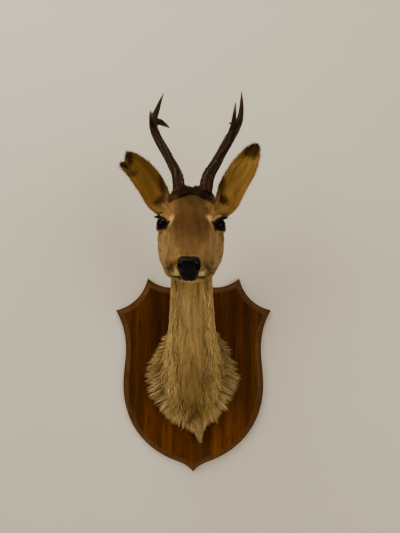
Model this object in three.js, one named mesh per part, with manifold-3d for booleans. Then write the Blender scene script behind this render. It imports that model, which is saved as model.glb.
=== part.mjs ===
// Roe deer shoulder mount on an oak shield, life size, in millimetres with +Z up.
// The back of the board is the wall plane y = 0 and its centre is the origin. The animal faces
// -Y and looks straight ahead, so its own left side is +X. Every solid of flesh is drawn out
// to the tips of the coat.
import * as THREE from 'three';
import { mergeVertices } from 'three/addons/utils/BufferGeometryUtils.js';
import Module from 'manifold-3d';

const wasm = await Module();
wasm.setup();

// Driving dimensions -------------------------------------------------------------------------

const GAP = 0.3; // clearance between touching pieces

const BOARD = {
  halfHeight: 184.5,
  hornX: 92, // the two horns at the top
  hornZ: 184.5,
  topDip: 36, // control depth of the hollow between the centre peak and a horn
  shoulderInX: 19.3, // how far in and down the hollow shoulder is pulled from its straight line
  shoulderInZ: 18.8,
  sideX: 154.5, // the widest points, below the hollow shoulders
  sideZ: 120.5,
  sideOut: 8, // control places of the curve from the widest point in to the waist
  sideDrop: 21,
  waistRise: 32,
  waistX: 133,
  waistZ: 40,
  waistDrop: 18, // control heights between waist and belly
  bellyRise: 23,
  bellyX: 136.5,
  bellyZ: -18,
  bellyDrop: 70, // control places of the long curve from belly to toe
  toeOut: 68,
  toeRise: 24,
  toeX: 31, // where the foot turns into the pointed toe
  toeZ: -165,
  pointX: 8, // control place of the pointed toe
  pointDrop: 7.5,
};
const SHARPEST = 0.4; // least sine of half a corner, so that a sharp one isn't drawn out
// Section of the routed edge: how far in from the outline, and how far forward of the wall.
const MOULDING = [
  [1.2, 0],
  [0, 1.2],
  [0, 9],
  [1.6, 10.6],
  [3.6, 11],
  [5.2, 14.2],
  [8.2, 17.2],
  [10.4, 18],
  [10.9, 20],
];

// A saw-tooth hanger in a shallow rebate in the back: the strip stands on two bent feet.
const HANGER = { length: 46, height: 9, strip: 1.2, foot: 1.1, footLength: 7, teeth: 7, tooth: 2.6 };
const REBATE = { length: 56, height: 18, depth: 3.8, z: 124 };
const NAIL = { radius: 1.9, head: 0.7, inset: 3.5 };

// The neck, station by station from the board to the back of the skull: where the nape and the
// throat lie in the (y, z) side view, half the width, and how full the section is above and below
// its widest point (2 is an ellipse, less is more pointed).
const NECK = [
  { t: 0.0, nape: [-20.3, 110], throat: [-20.3, -106], half: 87, upper: 1.6, lower: 1.5 },
  { t: 0.06, nape: [-24, 113], throat: [-24, -112], half: 90.5, upper: 1.6, lower: 1.5 },
  { t: 0.13, nape: [-31, 113], throat: [-34, -101], half: 79, upper: 1.65, lower: 1.6 },
  { t: 0.2, nape: [-39, 119], throat: [-50, -82], half: 59, upper: 1.75, lower: 1.8 },
  { t: 0.29, nape: [-48, 134], throat: [-72, -48], half: 49, upper: 1.9, lower: 1.9 },
  { t: 0.42, nape: [-62, 160], throat: [-103, 14], half: 43.5, upper: 2, lower: 1.95 },
  { t: 0.56, nape: [-84, 194], throat: [-130, 78], half: 39.5, upper: 2, lower: 2 },
  { t: 0.7, nape: [-112, 232], throat: [-150, 130], half: 37, upper: 2, lower: 2 },
  { t: 0.84, nape: [-140, 267], throat: [-172, 172], half: 38, upper: 2, lower: 2 },
  { t: 1.0, nape: [-178, 290], throat: [-205, 196], half: 38, upper: 2, lower: 2 },
];
const NECK_MIDDLE = -1.5; // x of the neck's centre line, a touch to the animal's right
const NECK_WIDEST = 0.47; // where up the section it is widest, from throat to nape
const NECK_SIDES = 28;
const NECK_STEPS = 16;
const NECK_CROWDING = 1.25; // how much the sections crowd towards the board; 1 is even
// Where the lengths of the neck part, as (y, z) at the throat and at the nape.
const NECK_CUTS = {
  front: [-140, 98],
  back: [-76, 186],
  low: [-47, -120],
  high: [-47, 140],
};

// The head runs back from the middle of the nose pad. "back" is the distance along the line from
// the nose through the eyes, "up" is square to that line, and the line dips by PITCH.
const NOSE = new THREE.Vector3(0, -342, 171);
const PITCH = THREE.MathUtils.degToRad(36);
const ROLL = THREE.MathUtils.degToRad(1.3); // the animal's left eye sits a little lower
const HEAD_LENGTH = 214;
const HEAD = [
  { back: 0, top: 8, bottom: -26, half: 20, widest: -8, upper: 2.6, lower: 2.7 },
  { back: 10, top: 12.5, bottom: -31, half: 25, widest: -12, upper: 2.4, lower: 2.9 },
  { back: 28, top: 16, bottom: -39, half: 30, widest: -17, upper: 2.2, lower: 3.4 },
  { back: 50, top: 19, bottom: -51, half: 34, widest: -23, upper: 2.1, lower: 3.8 },
  { back: 75, top: 22, bottom: -64, half: 39.5, widest: -31, upper: 2.1, lower: 3.8 },
  { back: 100, top: 26, bottom: -75.5, half: 45.5, widest: -37, upper: 2.15, lower: 3.4 },
  { back: 125, top: 31, bottom: -84, half: 50, widest: -42, upper: 2.3, lower: 3.1 },
  { back: 148, top: 36, bottom: -87, half: 51, widest: -44, upper: 2.3, lower: 2.8 },
  { back: 170, top: 37, bottom: -84, half: 48, widest: -34, upper: 2.3, lower: 2.4 },
  { back: 192, top: 30, bottom: -72, half: 42, widest: -22, upper: 2.1, lower: 2.1 },
  { back: HEAD_LENGTH, top: 16, bottom: -54, half: 34, widest: -14, upper: 2, lower: 2 },
];
const MUZZLE_ROUND = 11; // how fast the blunt end of the muzzle closes
const SKULL_ROUND = 30; // how fast the back of the skull closes
const HEAD_SIDES = 30;
const HEAD_STEPS = 22;
const HEAD_CROWDING = 0.8; // how much the sections crowd towards both ends; 0 is even
const CLOSED = 0.05; // share of a full section left at a closed end
// Swellings and hollows over the plain head: place as (x, back, up), spread and height.
const SWELLINGS = [
  { at: [37, 134, 16], spread: 14, height: 4 }, // brow over the eye
  { at: [44, 120, -17], spread: 12, height: 1.5 }, // bone under the eye
  { at: [44, 142, -44], spread: 26, height: 2 }, // chewing muscle
  { at: [36, 104, 1], spread: 11, height: -3 }, // tear pit in front of the eye
  { at: [18, 72, 10], spread: 15, height: -1.5 }, // flank of the nasal bones
  { at: [24, 32, -14], spread: 13, height: 1.8 }, // upper lip
  { at: [18, 167, 34], spread: 12, height: 4 }, // pedicle
];

const NECK_JOIN = { nape: [-160, 312], throat: [-186, 172] }; // plane between head and neck
// The line of the lips, run on back under the cheek, as (y, z).
const MOUTH_LINE = { front: [-346, 145], back: [-190, 196] };

const NOSE_PAD = {
  back: 3.5,
  up: -8,
  halfWidth: 15.4,
  halfHeight: 15,
  halfDepth: 8.5,
  footWidth: 0.74, // width at the lip as a share of the full width
  topSquare: 0.3, // how the ends close: 1 is round, less is squarer
  footSquare: 0.36,
  taperFrom: 14, // height over its middle at which the pad starts to narrow towards the lip
  steps: 8,
  sides: 12,
};
const NOSTRIL = { x: 9.8, back: -4.4, up: -2, radii: [3.4, 5, 2.7] };

const EYE = { radius: 12, x: 38, back: 122, up: -1.6, lid: 1.8 };
const EYE_GAZE = new THREE.Vector3(0.74, -0.64, 0.2).normalize(); // out, forward and a little up
// Along, across and through the lids.
const EYE_OPENING = { out: 9.5, radii: [14.8, 9.4, 11.5] };

// Ears: the line up the back of each ear, base to tip, then how wide and how curled it is.
const EAR_LEFT = [
  [40, -196, 266],
  [50, -190, 287],
  [58, -186, 307],
  [71, -185, 330],
  [86, -186, 354],
  [105, -190, 386],
];
const EAR_RIGHT = [
  [-37, -196, 268],
  [-46, -190, 288],
  [-57, -186, 309],
  [-73, -185, 331],
  [-90, -187, 348],
  [-110, -190, 362],
];
const EAR_OPEN = { out: 0.3, forward: -0.95, up: 0.05 };
const EAR_HALF_WIDTH = [
  [0, 17.5],
  [0.2, 21.5],
  [0.42, 22.8],
  [0.62, 22.2],
  [0.8, 17.5],
  [0.93, 10.5],
  [1, 3],
];
// The right ear has lost its tip, so it ends broad.
const EAR_HALF_WIDTH_TORN = [
  [0, 17.5],
  [0.2, 21.5],
  [0.42, 22.8],
  [0.62, 22.4],
  [0.8, 20],
  [0.93, 16.5],
  [1, 11],
];
const EAR_CURL_DEG = [
  [0, 96],
  [0.25, 80],
  [0.5, 64],
  [0.8, 50],
  [1, 36],
];
const EAR_THICKNESS = [
  [0, 7],
  [0.3, 5],
  [0.7, 4],
  [1, 2.2],
];
const EAR_EDGE = 0.35; // thickness at the rim as a share of the thickness at the back
const EAR_STEPS = 11;
const EAR_ARC = 8;
// A notch runs in from the end of the right ear.
const EAR_TEAR = { at: [-114, -191, 358], radii: [8, 14, 3.2], turn: -0.5 };

// Antlers: each beam runs on into its top point; the other tines start inside it. Lines are
// centre lines and girths are diameters, as [share of the length, diameter].
const ANTLERS = {
  left: {
    beam: {
      line: [[20, -233, 290], [22, -229, 302], [26, -226, 320], [37, -222, 341],
        [48, -217, 363], [59, -212, 385], [69, -209, 404], [75.5, -206, 418],
        [79, -203, 436], [80.4, -199, 456], [80.8, -196, 473.6]],
      girth: [[0, 19.5], [0.06, 20], [0.15, 18.2], [0.27, 16], [0.38, 15.2], [0.51, 15],
        [0.63, 14], [0.71, 11.5], [0.8, 8.4], [0.91, 5.2], [1, 1.6]],
    },
    front_tine: {
      line: [[61, -210, 394], [64.5, -218, 405], [66, -227, 417], [67, -237, 432]],
      girth: [[0, 10], [0.35, 8], [0.75, 4.8], [1, 1.4]],
    },
    rear_tine: {
      line: [[71, -207, 408], [66, -203, 414], [59.5, -197, 419]],
      girth: [[0, 8], [0.6, 5.4], [1, 1.8]],
    },
  },
  right: {
    beam: {
      line: [[-17.5, -233, 290], [-18.8, -229, 302], [-21.5, -226, 320], [-29.5, -222, 340],
        [-40.5, -217, 362], [-52, -212, 384], [-60, -209, 404], [-61, -206, 420],
        [-56.5, -203, 436], [-51, -199, 456], [-46.4, -196, 470.4]],
      girth: [[0, 17.5], [0.06, 18], [0.15, 16.4], [0.27, 14.2], [0.38, 13.6], [0.51, 13.2],
        [0.63, 13], [0.71, 12.4], [0.8, 9.4], [0.91, 5.2], [1, 1.6]],
    },
    front_tine: {
      line: [[-59.5, -208, 400], [-62, -217, 408], [-62.5, -229, 413.5], [-61.3, -242, 416.6]],
      girth: [[0, 9.5], [0.35, 7.6], [0.75, 4.6], [1, 1.4]],
    },
    rear_tine: {
      line: [[-58.5, -205, 416], [-53, -200, 419.5], [-46, -189, 421], [-37.4, -178, 420]],
      girth: [[0, 11.6], [0.4, 9.4], [0.8, 4.8], [1, 1.4]],
    },
  },
};
const FORK = 0.66; // share of the beam below the main fork
const BURR = { radius: 12.6, height: 7, at: 0.085 };
const ANTLER_SIDES = 9;
const BEAM_STEPS = 12;
const TINE_STEPS = 6;

const FINISH = {
  oak: { color: 0x4a2c14, roughness: 0.42, metalness: 0 },
  coat: { color: 0x9a7a48, roughness: 0.9, metalness: 0 },
  face: { color: 0x86602f, roughness: 0.88, metalness: 0 },
  ear: { color: 0x7a5a28, roughness: 0.88, metalness: 0 },
  nose: { color: 0x121214, roughness: 0.35, metalness: 0 },
  eye: { color: 0x0c0a08, roughness: 0.05, metalness: 0 },
  antler: { color: 0x44362a, roughness: 0.7, metalness: 0 },
  brass: { color: 0xb08a45, roughness: 0.35, metalness: 1 },
};

// Helpers ------------------------------------------------------------------------------------

// A smooth function through [place, value] pairs, in order of place.
function profile(pairs) {
  const slope = (a, b) => (b[1] - a[1]) / (b[0] - a[0]);
  const tangents = pairs.map((pair, i) => {
    const before = pairs[Math.max(i - 1, 0)];
    const after = pairs[Math.min(i + 1, pairs.length - 1)];
    return slope(before, after);
  });
  return (place) => {
    const last = pairs.length - 2;
    const next = pairs.findIndex((pair) => pair[0] > place);
    const i = next < 0 ? last : Math.min(Math.max(next - 1, 0), last);
    const span = pairs[i + 1][0] - pairs[i][0];
    const u = THREE.MathUtils.clamp((place - pairs[i][0]) / span, 0, 1);
    const rise = u * u * (3 - 2 * u);
    return (
      pairs[i][1] * (1 - rise) +
      pairs[i + 1][1] * rise +
      tangents[i] * span * u * (1 - u) * (1 - u) -
      tangents[i + 1] * span * u * u * (1 - u)
    );
  };
}

// One smooth function for each named size of a table of stations.
function profiles(stations, place, names) {
  return Object.fromEntries(
    names.map((name) => [name, profile(stations.map((row) => [row[place], row[name]]))]),
  );
}

const signedPower = (value, power) => Math.sign(value) * Math.abs(value) ** power;

// A closed skin over rings of points; each end closes on the middle of its ring.
function loft(rings) {
  const sides = rings[0].length;
  const middle = (ring) =>
    ring.reduce((sum, p) => sum.add(p), new THREE.Vector3()).divideScalar(sides);
  const points = [...rings.flat(), middle(rings[0]), middle(rings.at(-1))];
  const firstCap = rings.length * sides;
  const index = [];
  for (let i = 0; i + 1 < rings.length; i += 1) {
    for (let j = 0; j < sides; j += 1) {
      const a = i * sides + j;
      const b = i * sides + ((j + 1) % sides);
      index.push(a, b, b + sides, a, b + sides, a + sides);
    }
  }
  const lastRing = (rings.length - 1) * sides;
  for (let j = 0; j < sides; j += 1) {
    const k = (j + 1) % sides;
    index.push(firstCap, k, j, firstCap + 1, lastRing + j, lastRing + k);
  }
  const geometry = new THREE.BufferGeometry().setFromPoints(points);
  geometry.setIndex(index);
  return geometry;
}

// three.js geometry to a solid that can be joined and cut, and back.
function solid(geometry) {
  const bare = geometry.clone();
  bare.deleteAttribute('normal');
  bare.deleteAttribute('uv');
  const merged = mergeVertices(bare, 1e-4);
  return new wasm.Manifold(
    new wasm.Mesh({
      numProp: 3,
      vertProperties: new Float32Array(merged.attributes.position.array),
      triVerts: new Uint32Array(merged.index.array),
    }),
  );
}

function geometryOf(manifold) {
  const mesh = manifold.getMesh();
  const geometry = new THREE.BufferGeometry();
  geometry.setAttribute('position', new THREE.BufferAttribute(mesh.vertProperties, 3));
  geometry.setIndex(new THREE.BufferAttribute(mesh.triVerts, 1));
  geometry.computeVertexNormals();
  return geometry;
}

function placed(geometry, at, turnAboutY = 0) {
  return geometry.rotateY(turnAboutY).translate(at[0], at[1], at[2]);
}

function ellipsoid(at, radii, across = 14, down = 8) {
  const ball = new THREE.SphereGeometry(1, across, down).scale(radii[0], radii[1], radii[2]);
  return placed(ball, at);
}

const curveThrough = (line) =>
  new THREE.CatmullRomCurve3(line.map((p) => new THREE.Vector3(...p)));

// A tapered round limb along part of a smooth line, made thicker all round by "grow".
function limb({ line, girth }, steps, { from = 0, to = 1, grow = 0 } = {}) {
  const curve = curveThrough(line);
  const diameter = profile(girth);
  const sideways = new THREE.Vector3(1, 0, 0);
  const rings = [];
  for (let i = 0; i <= steps; i += 1) {
    const share = THREE.MathUtils.lerp(from, to, i / steps);
    const centre = curve.getPointAt(share);
    const along = curve.getTangentAt(share);
    const across = new THREE.Vector3().crossVectors(along, sideways).normalize();
    const outward = new THREE.Vector3().crossVectors(across, along);
    const radius = diameter(share) / 2 + grow;
    const ring = [];
    for (let j = 0; j < ANTLER_SIDES; j += 1) {
      const angle = (2 * Math.PI * j) / ANTLER_SIDES;
      ring.push(
        centre
          .clone()
          .addScaledVector(outward, radius * Math.cos(angle))
          .addScaledVector(across, radius * Math.sin(angle)),
      );
    }
    rings.push(ring);
  }
  return solid(loft(rings));
}

// The huge box on the far side of a plane, as a half space: the plane lies along X and passes
// through two (y, z) points, and the box is on the left of the way from the first to the second.
function halfSpace(first, second, shift = 0) {
  const reach = 1200;
  const along = new THREE.Vector2(second[0] - first[0], second[1] - first[1]).normalize();
  const out = new THREE.Vector2(-along.y, along.x);
  const box = new THREE.BoxGeometry(reach, reach, reach);
  box.rotateX(Math.atan2(out.y, out.x));
  const distance = reach / 2 + shift;
  return solid(placed(box, [0, first[0] + out.x * distance, first[1] + out.y * distance]));
}

// Both sides of a thin cut along that plane.
function part(body, first, second) {
  return [
    body.intersect(halfSpace(first, second, GAP / 2)),
    body.intersect(halfSpace(second, first, GAP / 2)),
  ];
}

// Board --------------------------------------------------------------------------------------

// Right half of the outline from the centre peak down to the toe, then mirrored.
function shieldOutline() {
  const b = BOARD;
  const shoulder = new THREE.Vector2(
    (b.hornX + b.sideX) / 2 - b.shoulderInX,
    (b.hornZ + b.sideZ) / 2 - b.shoulderInZ,
  );
  const pieces = [
    [7, new THREE.QuadraticBezierCurve(
      new THREE.Vector2(0, b.halfHeight),
      new THREE.Vector2(b.hornX / 2, b.hornZ - b.topDip),
      new THREE.Vector2(b.hornX, b.hornZ),
    )],
    [7, new THREE.QuadraticBezierCurve(
      new THREE.Vector2(b.hornX, b.hornZ),
      shoulder,
      new THREE.Vector2(b.sideX, b.sideZ),
    )],
    [6, new THREE.CubicBezierCurve(
      new THREE.Vector2(b.sideX, b.sideZ),
      new THREE.Vector2(b.waistX + b.sideOut, b.sideZ - b.sideDrop),
      new THREE.Vector2(b.waistX, b.waistZ + b.waistRise),
      new THREE.Vector2(b.waistX, b.waistZ),
    )],
    [4, new THREE.CubicBezierCurve(
      new THREE.Vector2(b.waistX, b.waistZ),
      new THREE.Vector2(b.waistX, b.waistZ - b.waistDrop),
      new THREE.Vector2(b.bellyX, b.bellyZ + b.bellyRise),
      new THREE.Vector2(b.bellyX, b.bellyZ),
    )],
    [10, new THREE.CubicBezierCurve(
      new THREE.Vector2(b.bellyX, b.bellyZ),
      new THREE.Vector2(b.bellyX, b.bellyZ - b.bellyDrop),
      new THREE.Vector2(b.toeX + b.toeOut, b.toeZ + b.toeRise),
      new THREE.Vector2(b.toeX, b.toeZ),
    )],
    [3, new THREE.QuadraticBezierCurve(
      new THREE.Vector2(b.toeX, b.toeZ),
      new THREE.Vector2(b.pointX, b.toeZ - b.pointDrop),
      new THREE.Vector2(0, -b.halfHeight),
    )],
  ];
  const half = pieces.flatMap(([steps, curve]) => curve.getPoints(steps).slice(0, -1));
  const toe = new THREE.Vector2(0, -b.halfHeight);
  const mirrored = half.slice(1).reverse().map((p) => new THREE.Vector2(-p.x, p.y));
  return [...half, toe, ...mirrored];
}

// The outline moved in by a distance, with mitred corners.
function insetOutline(outline, inset) {
  return outline.map((p, i) => {
    const before = outline[(i + outline.length - 1) % outline.length];
    const after = outline[(i + 1) % outline.length];
    const a = p.clone().sub(before).normalize();
    const b = after.clone().sub(p).normalize();
    const inward = new THREE.Vector2(-a.y - b.y, a.x + b.x).normalize().negate();
    const square = Math.max(new THREE.Vector2(b.y, -b.x).dot(inward), SHARPEST);
    return p.clone().addScaledVector(inward, inset / square);
  });
}

function shieldBoard() {
  const outline = shieldOutline();
  const rings = MOULDING.map(([inset, forward]) =>
    insetOutline(outline, inset).map((p) => new THREE.Vector3(p.x, -forward, p.y)).reverse(),
  );
  const rebate = new THREE.BoxGeometry(REBATE.length, 2 * REBATE.depth, REBATE.height);
  return solid(loft(rings)).subtract(solid(placed(rebate, [0, 0, REBATE.z])));
}

const stripBack = -REBATE.depth + GAP + HANGER.foot; // y of the strip's hidden face

function hanger() {
  const h = HANGER;
  const right = h.length / 2;
  const toothRun = h.length - 2 * h.footLength;
  const outline = new THREE.Shape();
  outline.moveTo(-right, h.height / 2);
  outline.lineTo(-right, -h.height / 2);
  for (let i = 0; i < h.teeth; i += 1) {
    const start = -right + h.footLength + (toothRun * i) / h.teeth;
    outline.lineTo(start, -h.height / 2);
    outline.lineTo(start + toothRun / h.teeth / 2, -h.height / 2 + h.tooth);
  }
  outline.lineTo(right - h.footLength, -h.height / 2);
  outline.lineTo(right, -h.height / 2);
  outline.lineTo(right, h.height / 2);
  outline.closePath();
  const strip = new THREE.ExtrudeGeometry(outline, { depth: h.strip, bevelEnabled: false });
  strip.rotateX(Math.PI / 2);
  let body = solid(placed(strip, [0, stripBack + h.strip, REBATE.z]));
  for (const side of [-1, 1]) {
    const foot = new THREE.BoxGeometry(h.footLength, h.foot + h.strip, h.height);
    const middle = stripBack + h.strip - (h.foot + h.strip) / 2;
    body = body.add(solid(placed(foot, [side * (right - h.footLength / 2), middle, REBATE.z])));
  }
  return body;
}

// Neck ---------------------------------------------------------------------------------------

function neckRings(grow = 0) {
  const across = profiles(NECK, 't', ['half', 'upper', 'lower']);
  const line = (end, axis) => profile(NECK.map((row) => [row.t, row[end][axis]]));
  const nape = [line('nape', 0), line('nape', 1)];
  const throat = [line('throat', 0), line('throat', 1)];
  const rings = [];
  for (let i = 0; i <= NECK_STEPS; i += 1) {
    const t = (i / NECK_STEPS) ** NECK_CROWDING;
    const top = new THREE.Vector3(0, nape[0](t), nape[1](t));
    const low = new THREE.Vector3(0, throat[0](t), throat[1](t));
    const upwards = top.clone().sub(low).setLength(grow);
    top.add(upwards);
    low.sub(upwards);
    const widest = low.clone().lerp(top, NECK_WIDEST);
    const ring = [];
    for (let j = 0; j < NECK_SIDES; j += 1) {
      const angle = (2 * Math.PI * j) / NECK_SIDES;
      const end = Math.sin(angle) >= 0 ? top : low;
      const power = 2 / (end === top ? across.upper(t) : across.lower(t));
      const x = (across.half(t) + grow) * signedPower(Math.cos(angle), power);
      const place = widest.clone().lerp(end, Math.abs(Math.sin(angle)) ** power);
      place.x += NECK_MIDDLE + x;
      ring.push(place);
    }
    rings.push(ring);
  }
  return rings;
}

// Head ---------------------------------------------------------------------------------------

// A place in the head's own directions as a place in the model.
function headPoint(x, back, up) {
  const sideways = x * Math.cos(ROLL) + up * Math.sin(ROLL);
  const lifted = up * Math.cos(ROLL) - x * Math.sin(ROLL);
  return new THREE.Vector3(
    NOSE.x + sideways,
    NOSE.y + back * Math.cos(PITCH) - lifted * Math.sin(PITCH),
    NOSE.z + back * Math.sin(PITCH) + lifted * Math.cos(PITCH),
  );
}

// Distance that the swellings push a place outwards.
function swelling(x, back, up) {
  return SWELLINGS.reduce((sum, { at, spread, height }) => {
    const away = new THREE.Vector3(Math.abs(x) - at[0], back - at[1], up - at[2]);
    return sum + height * Math.exp(-away.lengthSq() / (spread * spread));
  }, 0);
}

// How much of its full section is left near a rounded end.
const rounded = (distance, length) =>
  distance >= length ? 1 : Math.sqrt(Math.max(1 - (1 - distance / length) ** 2, 0));

function headRings(grow = 0) {
  const size = profiles(HEAD, 'back', ['top', 'bottom', 'half', 'widest', 'upper', 'lower']);
  const rings = [];
  for (let i = 0; i <= HEAD_STEPS; i += 1) {
    const share = i / HEAD_STEPS;
    const eased = (1 - Math.cos(Math.PI * share)) / 2;
    const back = HEAD_LENGTH * THREE.MathUtils.lerp(share, eased, HEAD_CROWDING);
    const left = Math.max(
      Math.min(rounded(back, MUZZLE_ROUND), rounded(HEAD_LENGTH - back, SKULL_ROUND)),
      CLOSED,
    );
    const widest = size.widest(back);
    const station = back - grow * Math.cos(Math.PI * share);
    const ring = [];
    for (let j = 0; j < HEAD_SIDES; j += 1) {
      const angle = (2 * Math.PI * j) / HEAD_SIDES;
      const above = Math.sin(angle) >= 0;
      const power = 2 / (above ? size.upper(back) : size.lower(back));
      const reach = above ? size.top(back) - widest : widest - size.bottom(back);
      const x = left * (size.half(back) + grow) * signedPower(Math.cos(angle), power);
      const rise = left * (reach + grow) * signedPower(Math.sin(angle), power);
      const out = new THREE.Vector2(x, rise).normalize();
      const push = swelling(x, back, widest + rise);
      ring.push(headPoint(x + push * out.x, station, widest + rise + push * out.y));
    }
    rings.push(ring.reverse());
  }
  return rings;
}

function nosePad() {
  const pad = NOSE_PAD;
  const rings = [];
  for (let i = 0; i <= pad.steps; i += 1) {
    const lean = Math.PI * (i / pad.steps - 0.5);
    const up = pad.up + pad.halfHeight * Math.sin(lean);
    const girth = Math.max(Math.cos(lean) ** (lean > 0 ? pad.topSquare : pad.footSquare), CLOSED);
    const low = THREE.MathUtils.smoothstep(pad.up - up, pad.taperFrom, pad.halfHeight);
    const width = pad.halfWidth * girth * THREE.MathUtils.lerp(1, pad.footWidth, low);
    const ring = [];
    for (let j = 0; j < pad.sides; j += 1) {
      const angle = (2 * Math.PI * j) / pad.sides;
      const forward = pad.halfDepth * girth * Math.sin(angle);
      ring.push(headPoint(width * Math.cos(angle), pad.back - forward, up));
    }
    rings.push(ring.reverse());
  }
  const holes = [-1, 1].map((side) => {
    const at = headPoint(side * NOSTRIL.x, NOSTRIL.back, NOSTRIL.up).toArray();
    return solid(ellipsoid(at, NOSTRIL.radii, 8, 6));
  });
  return holes.reduce((body, hole) => body.subtract(hole), solid(loft(rings)));
}

function eyeCentre(side) {
  return headPoint(side * EYE.x, EYE.back, EYE.up);
}

function eyeBall(side, radius) {
  return solid(ellipsoid(eyeCentre(side).toArray(), [radius, radius, radius]));
}

// The almond-shaped opening between the lids.
function eyeOpening(side) {
  const gaze = EYE_GAZE.clone();
  gaze.x *= side;
  const along = new THREE.Vector3().crossVectors(gaze, new THREE.Vector3(0, 0, 1)).normalize();
  const across = new THREE.Vector3().crossVectors(gaze, along);
  const turn = new THREE.Matrix4().makeBasis(along, across, gaze);
  const centre = eyeCentre(side).addScaledVector(gaze, EYE_OPENING.out);
  const shape = ellipsoid([0, 0, 0], EYE_OPENING.radii).applyMatrix4(turn);
  return solid(shape.translate(centre.x, centre.y, centre.z));
}

// Ears ---------------------------------------------------------------------------------------

function ear(line, side, widths) {
  const curve = curveThrough(line);
  const halfWidth = profile(widths);
  const curl = profile(EAR_CURL_DEG);
  const thickness = profile(EAR_THICKNESS);
  const open = new THREE.Vector3(side * EAR_OPEN.out, EAR_OPEN.forward, EAR_OPEN.up).normalize();
  const rings = [];
  for (let i = 0; i <= EAR_STEPS; i += 1) {
    const t = i / EAR_STEPS;
    const along = curve.getTangentAt(t);
    const across = new THREE.Vector3().crossVectors(along, open).normalize();
    const facing = new THREE.Vector3().crossVectors(across, along);
    const angle = THREE.MathUtils.degToRad(curl(t));
    const radius = halfWidth(t) / Math.sin(Math.min(angle, Math.PI / 2));
    const spine = curve.getPointAt(t);
    const edge = (share, deep) => {
      const turn = angle * share;
      const r = radius - deep * thickness(t) * THREE.MathUtils.lerp(1, EAR_EDGE, share * share);
      return spine
        .clone()
        .addScaledVector(across, r * Math.sin(turn))
        .addScaledVector(facing, radius - r * Math.cos(turn));
    };
    const ring = [];
    for (let j = 0; j <= EAR_ARC; j += 1) {
      ring.push(edge(-1 + (2 * j) / EAR_ARC, 0));
    }
    for (let j = EAR_ARC; j >= 0; j -= 1) {
      ring.push(edge(-1 + (2 * j) / EAR_ARC, 1));
    }
    rings.push(ring.reverse());
  }
  return solid(loft(rings));
}

function earTear() {
  const notch = ellipsoid([0, 0, 0], EAR_TEAR.radii, 8, 6);
  return solid(placed(notch, EAR_TEAR.at, EAR_TEAR.turn));
}

// Antlers ------------------------------------------------------------------------------------

// The beam up to the main fork, its top point beyond it, and the tines that stand on it.
function antler(side) {
  const { beam, ...tines } = ANTLERS[side];
  const length = curveThrough(beam.line).getLength();
  const burrAt = curveThrough(beam.line).getPointAt(BURR.at).toArray();
  const burr = ellipsoid(burrAt, [BURR.radius, BURR.radius, BURR.height / 2], 10, 5);
  const room = limb(beam, 2 * BEAM_STEPS, { grow: 2 * GAP });
  const pieces = {
    beam: limb(beam, BEAM_STEPS, { to: FORK }).add(solid(burr)),
    top: limb(beam, TINE_STEPS, { from: FORK + GAP / length }),
  };
  for (const [name, tine] of Object.entries(tines)) {
    pieces[name] = limb(tine, TINE_STEPS).subtract(room);
  }
  return pieces;
}

// The whole mount ----------------------------------------------------------------------------

const mount = new THREE.Group();

function add(name, body, finish) {
  const mesh = new THREE.Mesh(geometryOf(body), new THREE.MeshStandardMaterial(FINISH[finish]));
  mesh.name = name;
  mount.add(mesh);
}

add('shield_board', shieldBoard(), 'oak');
add('hanger', hanger(), 'brass');
for (const [name, side] of [['hanger_nail_left', 1], ['hanger_nail_right', -1]]) {
  const head = new THREE.CylinderGeometry(NAIL.radius, NAIL.radius, NAIL.head, 12);
  const at = [
    side * (HANGER.length / 2 - NAIL.inset),
    stripBack + HANGER.strip + GAP + NAIL.head / 2,
    REBATE.z,
  ];
  add(name, solid(placed(head, at)), 'brass');
}

const headWhole = solid(loft(headRings()));
const headRoom = solid(loft(headRings(GAP)));
const neckWhole = solid(loft(neckRings()));
const neckRoom = solid(loft(neckRings(GAP)));

let flesh = neckWhole.add(headWhole);
for (const side of [-1, 1]) {
  flesh = flesh
    .add(eyeBall(side, EYE.radius + EYE.lid))
    .subtract(eyeBall(side, EYE.radius + GAP))
    .subtract(eyeOpening(side));
}
const [head, neck] = part(flesh, NECK_JOIN.throat, NECK_JOIN.nape);
const [skull, lowerJaw] = part(head, MOUTH_LINE.front, MOUTH_LINE.back);
const [neckUpper, neckRest] = part(neck, NECK_CUTS.front, NECK_CUTS.back);
const [neckLower, shoulder] = part(neckRest, NECK_CUTS.low, NECK_CUTS.high);

add('shoulder', shoulder, 'coat');
add('neck_lower', neckLower, 'coat');
add('neck_upper', neckUpper, 'coat');
add('head', skull, 'face');
add('lower_jaw', lowerJaw, 'face');
add('nose_pad', nosePad().subtract(headRoom), 'nose');
const EARS = [
  ['left', 1, EAR_LEFT, EAR_HALF_WIDTH],
  ['right', -1, EAR_RIGHT, EAR_HALF_WIDTH_TORN],
];
for (const [name, side, line, widths] of EARS) {
  const shell = ear(line, side, widths).subtract(headRoom).subtract(neckRoom);
  add(`ear_${name}`, side < 0 ? shell.subtract(earTear()) : shell, 'ear');
  add(`eye_${name}`, eyeBall(side, EYE.radius), 'eye');
  for (const [piece, body] of Object.entries(antler(name))) {
    add(`antler_${name}_${piece}`, body.subtract(headRoom), 'antler');
  }
}

export default mount;
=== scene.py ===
import logging
import math
from dataclasses import dataclass, field
from enum import Enum

import bpy
import numpy as np
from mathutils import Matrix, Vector, kdtree
from mathutils.geometry import tessellate_polygon


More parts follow.
